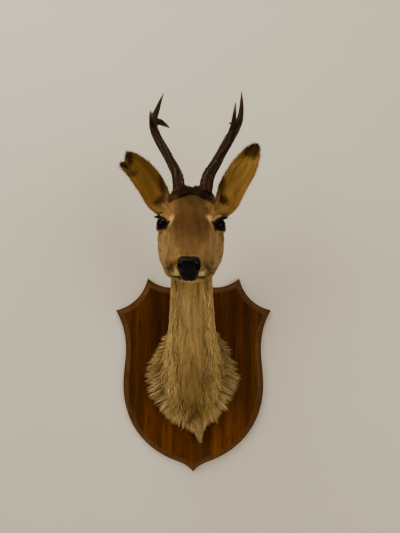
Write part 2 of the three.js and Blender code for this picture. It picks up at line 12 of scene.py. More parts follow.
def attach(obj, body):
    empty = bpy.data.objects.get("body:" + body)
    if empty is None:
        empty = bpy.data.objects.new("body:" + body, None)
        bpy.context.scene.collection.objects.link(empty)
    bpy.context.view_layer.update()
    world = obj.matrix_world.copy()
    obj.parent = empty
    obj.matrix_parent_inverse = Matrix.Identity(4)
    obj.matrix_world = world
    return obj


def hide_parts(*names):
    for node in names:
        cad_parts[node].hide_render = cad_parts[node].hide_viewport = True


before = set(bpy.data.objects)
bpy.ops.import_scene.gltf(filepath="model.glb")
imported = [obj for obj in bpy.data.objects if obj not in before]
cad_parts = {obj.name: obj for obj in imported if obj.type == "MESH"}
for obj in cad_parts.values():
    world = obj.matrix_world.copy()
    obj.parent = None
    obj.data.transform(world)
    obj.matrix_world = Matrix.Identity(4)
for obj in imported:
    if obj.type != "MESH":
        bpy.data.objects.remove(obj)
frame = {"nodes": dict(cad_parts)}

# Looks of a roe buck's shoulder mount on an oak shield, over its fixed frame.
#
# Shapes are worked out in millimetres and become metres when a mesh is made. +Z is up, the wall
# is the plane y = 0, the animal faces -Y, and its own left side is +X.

LOG = logging.getLogger("mount")
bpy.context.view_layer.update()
MM = 0.001
BODY = "root"
Array = np.ndarray


class Side(Enum):
    """The animal's own left and right; the value is the sign of X."""

    LEFT = 1
    RIGHT = -1

    @property
    def word(self) -> str:
        """The side's name in a piece's name."""
        return self.name.lower()


class Frame(Enum):
    """How a marking's place is counted; the first two count X from the middle outwards."""

    HEAD = "head"
    MOUNT = "mount"
    PLAIN = "plain"


class Part(Enum):
    """What a place on the hide belongs to."""

    NECK = 0
    HEAD = 1
    EAR_BACK = 2
    EAR_INSIDE = 3


# Numbers and curves ---------------------------------------------------------------------------


class Profile:
    """A smooth function through (place, value) pairs, in order of place."""

    def __init__(self, *pairs: tuple[float, float]) -> None:
        """Keeps the pairs and works out the slope at each.

        Args:
            pairs: (place, value), in order of place.
        """
        self.places, self.values = np.array(pairs, float).T
        last = len(pairs) - 1
        before = np.maximum(np.arange(last + 1) - 1, 0)
        after = np.minimum(np.arange(last + 1) + 1, last)
        rise = self.values[after] - self.values[before]
        self.slopes = rise / (self.places[after] - self.places[before])

    def __call__(self, place: Array | float) -> Array:
        """The value at a place.

        Args:
            place: one place or many.

        Returns:
            The value at each.
        """
        place = np.asarray(place, float)
        i = np.clip(np.searchsorted(self.places, place, "right") - 1, 0, len(self.places) - 2)
        span = self.places[i + 1] - self.places[i]
        u = np.clip((place - self.places[i]) / span, 0, 1)
        rise = u * u * (3 - 2 * u)
        return (
            self.values[i] * (1 - rise)
            + self.values[i + 1] * rise
            + self.slopes[i] * span * u * (1 - u) ** 2
            - self.slopes[i + 1] * span * u * u * (1 - u)
        )


class Line:
    """A smooth line through points, read by the share of its length."""

    FINE = 60  # samples between two points

    def __init__(self, points: list[tuple[float, float, float]]) -> None:
        """Draws the line.

        Args:
            points: the points it goes through, in mm.
        """
        p = np.array(points, float)
        p = np.vstack([2 * p[0] - p[1], p, 2 * p[-1] - p[-2]])
        samples = []
        for a, b, c, d in zip(p, p[1:], p[2:], p[3:]):
            ab, bc, cd = (np.linalg.norm(y - x) ** 0.5 for x, y in ((a, b), (b, c), (c, d)))
            out = ((b - a) / ab - (c - a) / (ab + bc) + (c - b) / bc) * bc
            into = ((c - b) / bc - (d - b) / (bc + cd) + (d - c) / cd) * bc
            u = np.linspace(0, 1, self.FINE, endpoint=False)[:, None]
            samples.append(
                b * (2 * u**3 - 3 * u**2 + 1)
                + c * (3 * u**2 - 2 * u**3)
                + out * (u**3 - 2 * u**2 + u)
                + into * (u**3 - u**2)
            )
        self.points = np.vstack([*samples, p[-2:-1]])
        steps = np.linalg.norm(np.diff(self.points, axis=0), axis=1)
        self.lengths = np.concatenate([[0], np.cumsum(steps)])
        self.length = float(self.lengths[-1])

    def at(self, share: Array | float) -> Array:
        """The points at shares of the length."""
        where = np.asarray(share, float) * self.length
        return np.stack([np.interp(where, self.lengths, x) for x in self.points.T], -1)

    def along(self, share: Array | float) -> Array:
        """The unit directions at shares of the length.

        Args:
            share: shares of the length, from 0 to 1.

        Returns:
            One unit direction for each.
        """
        share = np.asarray(share, float)
        step = 0.004
        return unit(self.at(np.minimum(share + step, 1)) - self.at(np.maximum(share - step, 0)))

    def nearest(self, points: Array) -> tuple[Array, Array]:
        """Where on the line each point is nearest.

        Args:
            points: (n, 3) places in mm.

        Returns:
            The share of the length and the distance, for each point.
        """
        shares = np.linspace(0, 1, 240)
        apart = ((points[:, None] - self.at(shares)[None]) ** 2).sum(-1)
        best = apart.argmin(1)
        return shares[best], np.sqrt(apart[np.arange(len(points)), best])


def unit(vectors: Array) -> Array:
    """Vectors made one long."""
    return vectors / np.maximum(np.linalg.norm(vectors, axis=-1, keepdims=True), 1e-9)


def smooth_step(value: Array, low: float, high: float) -> Array:
    """0 below low, 1 above high, and smooth between."""
    u = np.clip((value - low) / (high - low), 0, 1)
    return u * u * (3 - 2 * u)


def signed_power(value: Array, power: Array | float) -> Array:
    """A power that keeps the sign."""
    return np.sign(value) * np.abs(value) ** power


def bump(apart: Array, reach: float) -> Array:
    """A rounded bump: 1 at no distance, nearly 0 beyond twice the reach."""
    return np.exp(-((apart / reach) ** 2))


# Meshes ---------------------------------------------------------------------------------------


@dataclass
class Shell:
    """A surface in the making: points in mm, faces, and what is known at each point."""

    points: Array
    faces: list[Array]
    traits: dict[str, Array] = field(default_factory=dict)

    def joined(self, *others: "Shell") -> "Shell":
        """This surface and others as one, with the traits they share.

        Args:
            others: the surfaces to add.

        Returns:
            The joined surface.
        """
        every = [self, *others]
        starts = np.cumsum([0] + [len(s.points) for s in every[:-1]])
        faces = [f + start for s, start in zip(every, starts) for f in s.faces]
        shared = set.intersection(*(set(s.traits) for s in every))
        traits = {k: np.concatenate([s.traits[k] for s in every]) for k in sorted(shared)}
        return Shell(np.concatenate([s.points for s in every]), faces, traits)


def tube_faces(rings: int, sides: int, ends: bool = True) -> list[Array]:
    """Faces over rings of points, each ring closed.

    Args:
        rings: how many rings.
        sides: points in a ring.
        ends: whether two more points, after the rings, close the first and last ring.

    Returns:
        Quads, and the triangles of the ends.
    """
    i, j = (x.ravel() for x in np.meshgrid(np.arange(rings - 1), np.arange(sides), indexing="ij"))
    k = (j + 1) % sides
    faces = [np.stack([i * sides + j, i * sides + k, (i + 1) * sides + k, (i + 1) * sides + j], 1)]
    if ends:
        j = np.arange(sides)
        k = (j + 1) % sides
        last = (rings - 1) * sides
        first_cap = np.full(sides, rings * sides)
        faces.append(np.stack([first_cap, k, j], 1))
        faces.append(np.stack([first_cap + 1, last + j, last + k], 1))
    return faces


def tube(rings: Array, traits: dict[str, Array] | None = None) -> Shell:
    """A closed surface over rings of points.

    Args:
        rings: (rings, sides, 3) in mm.
        traits: values at each ring point, (rings, sides) or (rings, sides, n).

    Returns:
        The surface, closed at both ends on the middle of the ring.
    """
    count, sides = rings.shape[:2]
    ends = np.stack([rings[0].mean(0), rings[-1].mean(0)])
    held = {}
    for name, value in (traits or {}).items():
        flat = value.reshape(count * sides, *value.shape[2:])
        held[name] = np.concatenate([flat, flat[:1], flat[-1:]])
    return Shell(np.vstack([rings.reshape(-1, 3), ends]), tube_faces(count, sides), held)


def mesh_of(name: str, shell: Shell) -> bpy.types.Object:
    """Makes a smooth-shaded object of a surface, with each trait as a point attribute.

    Args:
        name: the piece's name.
        shell: the surface, in mm.

    Returns:
        The object, linked to the scene.
    """
    mesh = bpy.data.meshes.new(name)
    corners = np.concatenate([f.ravel() for f in shell.faces]).astype(np.int32)
    sizes = np.concatenate([np.full(len(f), f.shape[1]) for f in shell.faces])
    mesh.vertices.add(len(shell.points))
    mesh.vertices.foreach_set("co", (shell.points * MM).astype(np.float32).ravel())
    mesh.loops.add(len(corners))
    mesh.loops.foreach_set("vertex_index", corners)
    mesh.polygons.add(len(sizes))
    starts = np.concatenate([[0], np.cumsum(sizes)[:-1]]).astype(np.int32)
    mesh.polygons.foreach_set("loop_start", starts)
    mesh.update(calc_edges=True)
    mesh.polygons.foreach_set("use_smooth", np.ones(len(sizes), bool))
    piece = bpy.data.objects.new(name, mesh)
    keep(piece, shell.traits)
    bpy.context.scene.collection.objects.link(piece)
    return piece


def points_of(piece: bpy.types.Object) -> Array:
    """An object's points, in mm.

    Args:
        piece: a mesh object.

    Returns:
        One row for each point.
    """
    found = np.empty(len(piece.data.vertices) * 3, np.float32)
    piece.data.vertices.foreach_get("co", found)
    return found.reshape(-1, 3).astype(float) / MM


def normals_of(piece: bpy.types.Object) -> Array:
    """An object's point normals.

    Args:
        piece: a mesh object.

    Returns:
        One unit row for each point.
    """
    found = np.empty(len(piece.data.vertices) * 3, np.float32)
    piece.data.vertex_normals.foreach_get("vector", found)
    return found.reshape(-1, 3).astype(float)


def move_points(piece: bpy.types.Object, points: Array) -> None:
    """Puts an object's points somewhere else, in mm."""
    piece.data.vertices.foreach_set("co", (points * MM).astype(np.float32).ravel())
    piece.data.update()


def keep(piece: bpy.types.Object, traits: dict[str, Array]) -> None:
    """Stores each trait on an object's points: a vector where it has three parts, else a number.

    Args:
        piece: a mesh object.
        traits: values by name, one for each point.
    """
    for name, value in traits.items():
        kind, key = ("FLOAT_VECTOR", "vector") if value.ndim == 2 else ("FLOAT", "value")
        made = piece.data.attributes.new(name, kind, "POINT")
        made.data.foreach_set(key, value.astype(np.float32).ravel())


def nearest_of(known: Array, points: Array) -> Array:
    """Which known place is nearest to each point.

    Args:
        known: the places looked in.
        points: the points asked about.

    Returns:
        For each point, the nearest place's number.
    """
    tree = kdtree.KDTree(len(known))
    for i, place in enumerate(known.tolist()):
        tree.insert(place, i)
    tree.balance()
    return np.fromiter((tree.find(p)[1] for p in points.tolist()), int, len(points))


def melted(piece: bpy.types.Object, voxel: float) -> bpy.types.Object:
    """One even skin over everything in an object, in place of its mesh.

    Args:
        piece: the object whose closed surfaces melt together.
        voxel: the size of the new faces, in mm.

    Returns:
        The same object.
    """
    remesh = piece.modifiers.new("melt", "REMESH")
    remesh.mode = "VOXEL"
    remesh.voxel_size = voxel * MM
    return applied(piece)


def applied(piece: bpy.types.Object) -> bpy.types.Object:
    """Puts an object's modifiers into its mesh.

    Args:
        piece: an object with modifiers on it.

    Returns:
        The same object, with none left.
    """
    graph = bpy.context.evaluated_depsgraph_get()
    made = bpy.data.meshes.new_from_object(piece.evaluated_get(graph))
    piece.modifiers.clear()
    old, piece.data = piece.data, made
    made.name = piece.name
    bpy.data.meshes.remove(old)
    made.polygons.foreach_set("use_smooth", np.ones(len(made.polygons), bool))
    return piece


class Neighbours:
    """The mesh's edges, to spread values between neighbouring points."""

    def __init__(self, mesh: bpy.types.Mesh) -> None:
        """Reads the edges.

        Args:
            mesh: the mesh whose points are smoothed.
        """
        ends = np.empty(len(mesh.edges) * 2, np.int32)
        mesh.edges.foreach_get("vertices", ends)
        self.a, self.b = ends.reshape(-1, 2).T
        self.count = len(mesh.vertices)
        self.degree = np.bincount(ends, minlength=self.count).clip(1)[:, None]

    def spread(self, values: Array, times: int, keep: float = 0.5) -> Array:
        """Evens out values over neighbours.

        Args:
            values: (n, k) at the points.
            times: how often.
            keep: the share of the old value kept each time.

        Returns:
            The new values.
        """
        for _ in range(times):
            total = np.stack(
                [
                    np.bincount(self.a, values[self.b, k], self.count)
                    + np.bincount(self.b, values[self.a, k], self.count)
                    for k in range(values.shape[1])
                ],
                1,
            )
            values = values * keep + total / self.degree * (1 - keep)
        return values


# Finishes -------------------------------------------------------------------------------------


def linear(code: str) -> tuple[float, float, float, float]:
    """An sRGB hex colour as a linear one.

    Args:
        code: the colour, such as "#c9a256".

    Returns:
        Red, green, blue and an alpha of 1, each from 0 to 1.
    """
    parts = [int(code[i : i + 2], 16) / 255 for i in (1, 3, 5)]
    lit = [c / 12.92 if c <= 0.04045 else ((c + 0.055) / 1.055) ** 2.4 for c in parts]
    return (*lit, 1.0)


def node(tree: bpy.types.NodeTree, kind: str, links: dict | None = None, **settings) -> bpy.types.Node:
    """Adds one node to a tree.

    Args:
        tree: the tree.
        kind: the node's type, without its ShaderNode.
        links: for each input, by name or number, a value, or the node or socket that feeds it. A
            MapRange counts value, from low, from high, to low, to high as 0 to 4; a Mapping has its
            vector at 0 and its scale at 3; a colour Mix its share at 0 and its colours at 6 and 7.
        settings: the node's own properties; stops gives a ramp's (place, colour) pairs.

    Returns:
        The node.
    """
    made = tree.nodes.new(kind if kind.startswith("NodeGroup") else "ShaderNode" + kind)
    stops = settings.pop("stops", None)
    for key, value in settings.items():
        setattr(made, key, value)
    if stops:
        for _ in stops[2:]:
            made.color_ramp.elements.new(0.5)
        for element, (place, colour) in zip(made.color_ramp.elements, stops):
            element.position = place
            element.color = colour
    for key, value in (links or {}).items():
        if isinstance(value, bpy.types.Node):
            value = next(socket for socket in value.outputs if socket.enabled)
        if isinstance(value, bpy.types.NodeSocket):
            tree.links.new(value, made.inputs[key])
        else:
            made.inputs[key].default_value = value
    return made


@dataclass(frozen=True)
class Finish:
    """A material worked out from what the real one is."""

    name: str = ""
    roughness: float = 0.5
    ior: float = 1.5

    def paint(self, tree: bpy.types.NodeTree) -> dict:
        """What feeds each input of the shader."""
        raise NotImplementedError

    def material(self) -> bpy.types.Material:
        """Makes the material, or finds it if it is made.

        Returns:
            The material.
        """
        found = bpy.data.materials.get(self.name)
        if found:
            return found
        made = bpy.data.materials.new(self.name)
        made.use_nodes = True
        tree = made.node_tree
        tree.nodes.clear()
        inputs = {"Roughness": self.roughness, "IOR": self.ior, **self.paint(tree)}
        node(tree, "OutputMaterial", {"Surface": node(tree, "BsdfPrincipled", inputs)})
        return made

    def dress(self, piece: bpy.types.Object) -> None:
        """Gives the whole object this material."""
        piece.data.materials.clear()
        piece.data.materials.append(self.material())


@dataclass(frozen=True)
class StainedOak(Finish):
    """Plain-sawn oak, dark stained and varnished: grain bands, open pores, stain worn at the edges, drawn
    lighter there also as a painted highlight.
    """

    name: str = "stained_oak"
    roughness: float = 0.5
    ior: float = 1.52
    dark: str = "#2c1703"
    middle: str = "#402205"
    light: str = "#54320c"
    # The colour of rubbed stain and of the painted highlight on the moulding.
    worn: str = "#6e5638"
    band: float = 9.0  # growth rings as sawn, mm
    flame: float = 55.5  # the rings wander over this far, mm
    blotch: float = 35.7  # patches where the stain took more or less, mm
    rubbed: float = 12.5  # patches rubbed by hands and cloths, mm
    pore: float = 0.9  # real pores are 0.3 mm; drawn three times as wide so that they show

    def paint(self, tree: bpy.types.NodeTree) -> dict:
        """Adds the nodes of the finish.

        Args:
            tree: the material's tree.

        Returns:
            What feeds each input of the shader.
        """
        place = node(tree, "TexCoord").outputs["Object"]
        # Growth rings run up the board and wander, so the grain reads as tall flames.
        drawn = node(tree, "Mapping", {0: place, 3: (1, 1, 0.22)})
        wander = node(tree, "TexNoise", {"Vector": drawn, "Scale": 500 / self.flame, "Detail": 2.0})
        sideways = node(
            tree, "VectorMath", {0: wander.outputs["Color"], 1: (0.055, 0, 0)}, operation="MULTIPLY")
        bent = node(tree, "VectorMath", {0: place, 1: sideways}, operation="ADD")
        tall = node(tree, "Mapping", {0: bent, 3: (1, 1, 0.045)})
        rings = node(
            tree, "TexNoise", {"Vector": tall, "Scale": 500 / self.band, "Detail": 4.0, "Roughness": 0.62})
        tone = node(
            tree, "ValToRGB", {0: rings},
            stops=[(0.3, linear(self.dark)), (0.5, linear(self.middle)), (0.72, linear(self.light))])
        # Wide soft patches where the stain took more or less.
        drawn = node(tree, "Mapping", {0: place, 3: (1, 1, 0.4)})
        patches = node(tree, "TexNoise", {"Vector": drawn, "Scale": 500 / self.blotch, "Detail": 1.0})
        cloud = node(tree, "MapRange", {0: patches, 1: 0.3, 2: 0.7, 3: 0.72, 4: 1.22})
        stained = node(tree, "Mix", {0: 1.0, 6: tone, 7: cloud}, data_type="RGBA", blend_type="MULTIPLY")
        # Painted light: the board's colour is drawn lighter towards its foot, as if more light fell there.
        height = node(tree, "SeparateXYZ", {0: place}).outputs[2]
        foot = node(tree, "MapRange", {0: height, 1: -0.04, 2: -0.15, 3: 0.92, 4: 1.7})
        stained = node(tree, "Mix", {0: 1.0, 6: stained, 7: foot}, data_type="RGBA", blend_type="MULTIPLY")
        # Open pores: dark dashes along the grain.
        dash = node(tree, "Mapping", {0: bent, 3: (1, 1, 0.05)})
        pores = node(tree, "TexNoise", {"Vector": dash, "Scale": 500 / self.pore, "Detail": 1.0})
        deep = node(tree, "MapRange", {0: pores, 1: 0.58, 2: 0.68, 3: 0.0, 4: 1.0})
        filled = node(tree, "Math", {0: deep, 1: 0.75}, operation="MULTIPLY")
        pored = node(tree, "Mix", {0: filled, 6: stained, 7: linear("#170902")}, data_type="RGBA")
        # The stain is rubbed thin on the moulding's ridges, and the same lighter colour there is a painted
        # highlight.
        rub = node(tree, "TexNoise", {"Vector": place, "Scale": 500 / self.rubbed, "Detail": 3.0})
        uneven = node(tree, "MapRange", {0: rub, 1: 0.35, 2: 0.65, 3: 0.25, 4: 1.0})
        edge = node(tree, "Attribute", attribute_name="worn").outputs["Fac"]
        thin = node(tree, "Math", {0: edge, 1: uneven}, operation="MULTIPLY")
        colour = node(tree, "Mix", {0: thin, 6: pored, 7: linear(self.worn)}, data_type="RGBA")
        rough = node(tree, "MapRange", {0: rings, 3: self.roughness - 0.1, 4: self.roughness + 0.12})
        relief = node(tree, "Math", {0: deep, 1: -1.0}, operation="MULTIPLY")
        dent = node(tree, "Bump", {"Strength": 0.35, "Distance": 0.0004, "Height": relief})
        return {
            "Base Color": colour,
            "Roughness": rough,
            "Normal": dent,
            "Specular IOR Level": 0.15,
            "Specular Tint": linear("#e0a050"),
            "Coat Weight": 0.06,
            "Coat Roughness": 0.3,
            "Coat Tint": linear("#e8b468"),
        }


@dataclass(frozen=True)
class Marking:
    """A soft patch of coat colour, as an ellipsoid in the head's or the model's directions."""

    at: tuple[float, float, float]
    radii: tuple[float, float, float]
    colour: str
    strength: float = 1.0
    soft: float = 0.5  # share of the radius over which it fades
    frame: Frame = Frame.HEAD


# Base colours and patches, from the first laid to the last. X counts from the middle outwards.
NECK_STRAW = "#9d8450"
HEAD_OCHRE = "#84683c"
MARKINGS = (
    # The neck: olive low on the throat, paler at the sides and along the fringe.
    Marking((0, -112, 30), (26, 60, 90), "#94794a", 0.6, 0.9, Frame.MOUNT),
    Marking((0, -84, -18), (32, 60, 66), "#6e5730", 0.9, 0.9, Frame.MOUNT),
    # Painted shade: darker olive on the throat just under the jaw.
    Marking((0, -190, 150), (34, 40, 24), "#7a6136", 0.7, 0.8, Frame.MOUNT),
    Marking((6, -30, -100), (17, 30, 26), "#fff0d0", 1.0, 0.6, Frame.PLAIN),
    Marking((-46, -24, 20), (24, 22, 66), "#7a5c2c", 0.75, 0.8, Frame.PLAIN),
    Marking((5, -72, -56), (12, 26, 20), "#4f3f16", 0.85, 0.9, Frame.PLAIN),
    # The nape and the backs of the ears are a colder grey brown.
    Marking((0, -60, 220), (38, 110, 90), "#7a6138", 0.7, 0.7, Frame.MOUNT),
    # The face: reddish brown down the bridge, tan cheeks, dark ochre forehead.
    Marking((48, 88, -36), (26, 66, 40), "#8a7044", 0.9, 0.8),
    Marking((0, 92, 24), (33, 96, 42), "#4f3618", 0.9, 0.7),
    Marking((0, 78, 20), (22, 70, 36), "#3f2811", 0.7, 0.9),
    Marking((20, 84, 16), (12, 40, 20), "#40260d", 0.6, 0.9),
    Marking((0, 142, 42), (46, 32, 34), "#3b2e15", 0.88, 0.7),
    Marking((0, 18, 16), (14, 18, 13), "#593c27", 0.8, 0.8),
    Marking((24, 22, -8), (11, 26, 18), "#5d4226", 0.75, 0.8),
    # Light round the eyes, and the spots at the inner end of the brows.
    Marking((40, 118, 2), (20, 26, 24), "#8a6b3c", 0.7, 0.8),
    Marking((30, 104, 13.5), (9, 9.5, 7.5), "#dcb072", 0.95, 0.9),
    Marking((36, 130, 24), (14, 14, 9), "#85622e", 0.65, 0.9),
    # Lips, chin and throat.
    Marking((14.5, 4, -15.5), (6, 9, 5), "#cfb482", 0.95, 0.6),
    Marking((0, 22, -48), (26, 36, 14), "#a68d58", 0.85, 0.6),
    Marking((0, 6, -28), (22, 16, 4.5), "#b59b66", 0.85, 0.6),
    # Painted shade: olive under the jaw.
    Marking((0, 95, -88), (44, 66, 26), "#86703f", 0.7, 0.7),
    # The dark fur round the antlers and the ear roots.
    Marking((0, 172, 38), (47, 27, 30), "#1c1209", 0.97, 0.3),
    Marking((20, 160, 36), (19, 18, 24), "#1c120a", 0.97, 0.35),
    # Inside the ears: yellow ochre; tips and torn rims nearly black.
    # Painted light: the left ear's inside is drawn lighter than the right's.
    Marking((-84, -192, 326), (62, 50, 78), "#5a4010", 0.92, 0.5, Frame.PLAIN),
    Marking((78, -192, 330), (56, 50, 84), "#85642c", 0.92, 0.5, Frame.PLAIN),
    # Painted shade along each ear's inner fold.
    Marking((44, -203, 312), (9, 26, 26), "#2e1c0c", 0.9, 0.7, Frame.MOUNT),
    Marking((50, -202, 288), (11, 18, 11), "#2c0f08", 0.97, 0.5, Frame.MOUNT),
    Marking((110, -190, 387), (13, 30, 11), "#150e08", 0.97, 0.5, Frame.MOUNT),
    Marking((100, -195, 376), (22, 30, 16), "#241505", 0.95, 0.7, Frame.PLAIN),
    Marking((80, -198, 368), (13, 24, 6), "#20150b", 0.9, 0.6, Frame.PLAIN),
    Marking((-99, -190, 362), (7, 30, 18), "#1c0f08", 0.95, 0.6, Frame.PLAIN),
    Marking((-108, -190, 348), (10, 24, 7), "#150e08", 0.97, 0.5, Frame.PLAIN),
    Marking((-95, -195, 336), (8, 24, 9), "#2a1508", 0.85, 0.8, Frame.PLAIN),
    Marking((-115, -192, 364), (7, 14, 8), "#5e5448", 0.85, 0.7, Frame.PLAIN),
)


@dataclass(frozen=True)
class RoeCoat(Finish):
    """Roe deer hair and the hide under it: matt, with every hair a little lighter at its tip."""

    name: str = "roe_coat"
    roughness: float = 0.8
    ior: float = 1.45
    hair: float = 0.7  # hairs are 0.1 mm thick; drawn as strands this wide so that they show
    lock: float = 4.0  # hairs lie together in locks this wide, mm
    ragged: float = 3.85  # hairs carry the edges of the markings across this much, mm
    fleck: float = 1.8  # dark bands on single hairs, drawn over several at once so that they show

    def markings(self) -> bpy.types.NodeTree:
        """The node group that turns a place on the animal into the colour of its coat.

        Returns:
            The node group, from a place in metres to a colour.
        """
        found = bpy.data.node_groups.get("roe_markings")
        if found:
            return found
        tree = bpy.data.node_groups.new("roe_markings", "ShaderNodeTree")
        tree.interface.new_socket("Place", in_out="INPUT", socket_type="NodeSocketVector")
        tree.interface.new_socket("Colour", in_out="OUTPUT", socket_type="NodeSocketColor")
        given = node(tree, "NodeGroupInput")
        ragged = node(tree, "TexNoise", {"Vector": given, "Scale": 500 / self.ragged, "Detail": 4.0})
        shift = node(
            tree, "VectorMath", {0: ragged.outputs["Color"], 1: (0.5, 0.5, 0.5)}, operation="SUBTRACT")
        shift = node(tree, "VectorMath", {0: shift, 3: 0.016}, operation="SCALE")
        rough = node(tree, "VectorMath", {0: given, 1: shift}, operation="ADD")
        from_nose = node(tree, "VectorMath", {0: rough, 1: tuple(HEAD.nose * MM)}, operation="SUBTRACT")
        turned = [
            node(tree, "VectorMath", {0: from_nose, 1: tuple(axis)}, operation="DOT_PRODUCT")
            for axis in HEAD.axes()
        ]
        on_head = node(tree, "CombineXYZ", dict(enumerate(turned)))
        folded = {Frame.PLAIN: rough}
        for frame_kind, source in ((Frame.HEAD, on_head), (Frame.MOUNT, rough)):
            apart = node(tree, "SeparateXYZ", {0: source})
            across = node(tree, "Math", {0: apart.outputs[0]}, operation="ABSOLUTE")
            folded[frame_kind] = node(
                tree, "CombineXYZ", {0: across, 1: apart.outputs[1], 2: apart.outputs[2]})
        apart = node(tree, "SeparateXYZ", {0: on_head})
        before = node(tree, "MapRange", {0: apart.outputs[1], 1: 0.235, 2: 0.165})
        above = node(tree, "MapRange", {0: apart.outputs[2], 1: -0.13, 2: -0.095})
        head_share = node(tree, "Math", {0: before, 1: above}, operation="MULTIPLY")
        colour = node(
            tree, "Mix", {0: head_share, 6: linear(NECK_STRAW), 7: linear(HEAD_OCHRE)}, data_type="RGBA")
        for mark in MARKINGS:
            middle, shrink = (tuple(v * MM for v in mark.at), tuple(1 / (v * MM) for v in mark.radii))
            away = node(tree, "VectorMath", {0: folded[mark.frame], 1: middle}, operation="SUBTRACT")
            away = node(tree, "VectorMath", {0: away, 1: shrink}, operation="MULTIPLY")
            away = node(tree, "VectorMath", {0: away}, operation="LENGTH")
            edge = {
                0: away.outputs["Value"], 1: 1 + mark.soft / 2, 2: 1 - mark.soft, 3: 0.0, 4: mark.strength}
            inside = node(tree, "MapRange", edge, interpolation_type="SMOOTHSTEP")
            colour = node(tree, "Mix", {0: inside, 6: colour, 7: linear(mark.colour)}, data_type="RGBA")
        node(tree, "NodeGroupOutput", {0: colour})
        return tree

    def paint(self, tree: bpy.types.NodeTree) -> dict:
        """Adds the nodes of the finish.

        Args:
            tree: the material's tree.

        Returns:
            What feeds each input of the shader.
        """
        root = node(tree, "Attribute", attribute_name="root")
        comb = node(tree, "Attribute", attribute_name="comb")
        stain = node(tree, "Attribute", attribute_name="stain")
        traits = node(
            tree, "SeparateXYZ", {0: node(tree, "Attribute", attribute_name="strand").outputs["Vector"]})
        along, tone, pale = traits.outputs
        base = node(tree, "Group", {0: root.outputs["Vector"]}, node_tree=self.markings())
        # Locks: bands of lighter and darker hair that run with the lie of the coat.
        locks = node(
            tree, "TexNoise",
            {"Vector": comb.outputs["Vector"], "Scale": 500 / self.lock, "Detail": 3.0, "Roughness": 0.6})
        shade = node(tree, "MapRange", {0: locks, 1: 0.28, 2: 0.72, 3: 0.6, 4: 1.36})
        colour = node(tree, "Mix", {0: 1.0, 6: base, 7: shade}, data_type="RGBA", blend_type="MULTIPLY")
        # Most tufts are alike; a few are nearly all dark bands and a few bleached.
        grey = [(place, (value, value, value, 1)) for place, value in (
            (0.0, 0.4), (0.1, 0.5), (0.17, 0.84), (0.84, 1.12), (0.93, 1.5), (1.0, 1.7))]
        single = node(tree, "ValToRGB", {0: tone}, stops=grey)
        colour = node(tree, "Mix", {0: 1.0, 6: colour, 7: single}, data_type="RGBA", blend_type="MULTIPLY")
        # Roots sit in shade and tips are bleached.
        lit = node(tree, "MapRange", {0: along, 1: 0.0, 2: 0.75, 3: 0.74, 4: 1.28})
        colour = node(tree, "Mix", {0: 1.0, 6: colour, 7: lit}, data_type="RGBA", blend_type="MULTIPLY")
        ends = node(tree, "MapRange", {0: along, 1: 0.45, 2: 0.95})
        ends = node(tree, "Math", {0: ends, 1: pale}, operation="MULTIPLY")
        colour = node(tree, "Mix", {0: ends, 6: colour, 7: linear("#dcb985")}, data_type="RGBA")
        flecks = node(
            tree, "TexNoise", {"Vector": comb.outputs["Vector"], "Scale": 500 / self.fleck, "Detail": 2.0})
        dark = node(tree, "MapRange", {0: flecks, 1: 0.56, 2: 0.68, 3: 0.0, 4: 0.5})
        colour = node(tree, "Mix", {0: dark, 6: colour, 7: linear("#4b3618")}, data_type="RGBA")
        # Bare black skin round the eyes; along the face's grooves dark skin and hair, and painted shade in
        # the crease.
        colour = node(
            tree, "Mix", {0: stain.outputs["Fac"], 6: colour, 7: linear("#140a04")}, data_type="RGBA")
        strands = node(
            tree, "TexNoise", {"Vector": comb.outputs["Vector"], "Scale": 500 / self.hair, "Detail": 2.0})
        both = node(tree, "Math", {0: strands, 1: locks}, operation="ADD")
        lift = node(tree, "Bump", {"Strength": 0.6, "Distance": 0.0014, "Height": both})
        return {
            "Base Color": colour,
            "Normal": lift,
            "Specular IOR Level": 0.12,
            "Specular Tint": linear("#f0cf9a"),
            "Sheen Weight": 0.04,
            "Sheen Roughness": 0.4,
            "Sheen Tint": linear("#f0cf9a"),
        }


@dataclass(frozen=True)
class NoseLeather(Finish):
    """Bare nose skin, painted black and varnished: pebbled, wet-looking."""

    name: str = "nose_leather"
    roughness: float = 0.3
    ior: float = 1.45
    pebble: float = 1.3  # pebbles, mm

    def paint(self, tree: bpy.types.NodeTree) -> dict:
        """Adds the nodes of the finish.

        Args:
            tree: the material's tree.

        Returns:
            What feeds each input of the shader.
        """
        place = node(tree, "TexCoord").outputs["Object"]
        cells = node(tree, "TexVoronoi", {"Vector": place, "Scale": 1000 / self.pebble}, feature="F1")
        colour = node(
            tree, "ValToRGB", {0: cells}, stops=[(0.0, linear("#08080a")), (0.8, linear("#030304"))])
        relief = node(tree, "Math", {0: cells, 1: -1.0}, operation="MULTIPLY")
        dent = node(tree, "Bump", {"Strength": 0.45, "Distance": 0.0004, "Height": relief})
        damp = node(tree, "MapRange", {0: cells, 3: self.roughness - 0.08, 4: self.roughness + 0.1})
        return {"Base Color": colour, "Normal": dent, "Roughness": damp, "Specular IOR Level": 0.12}


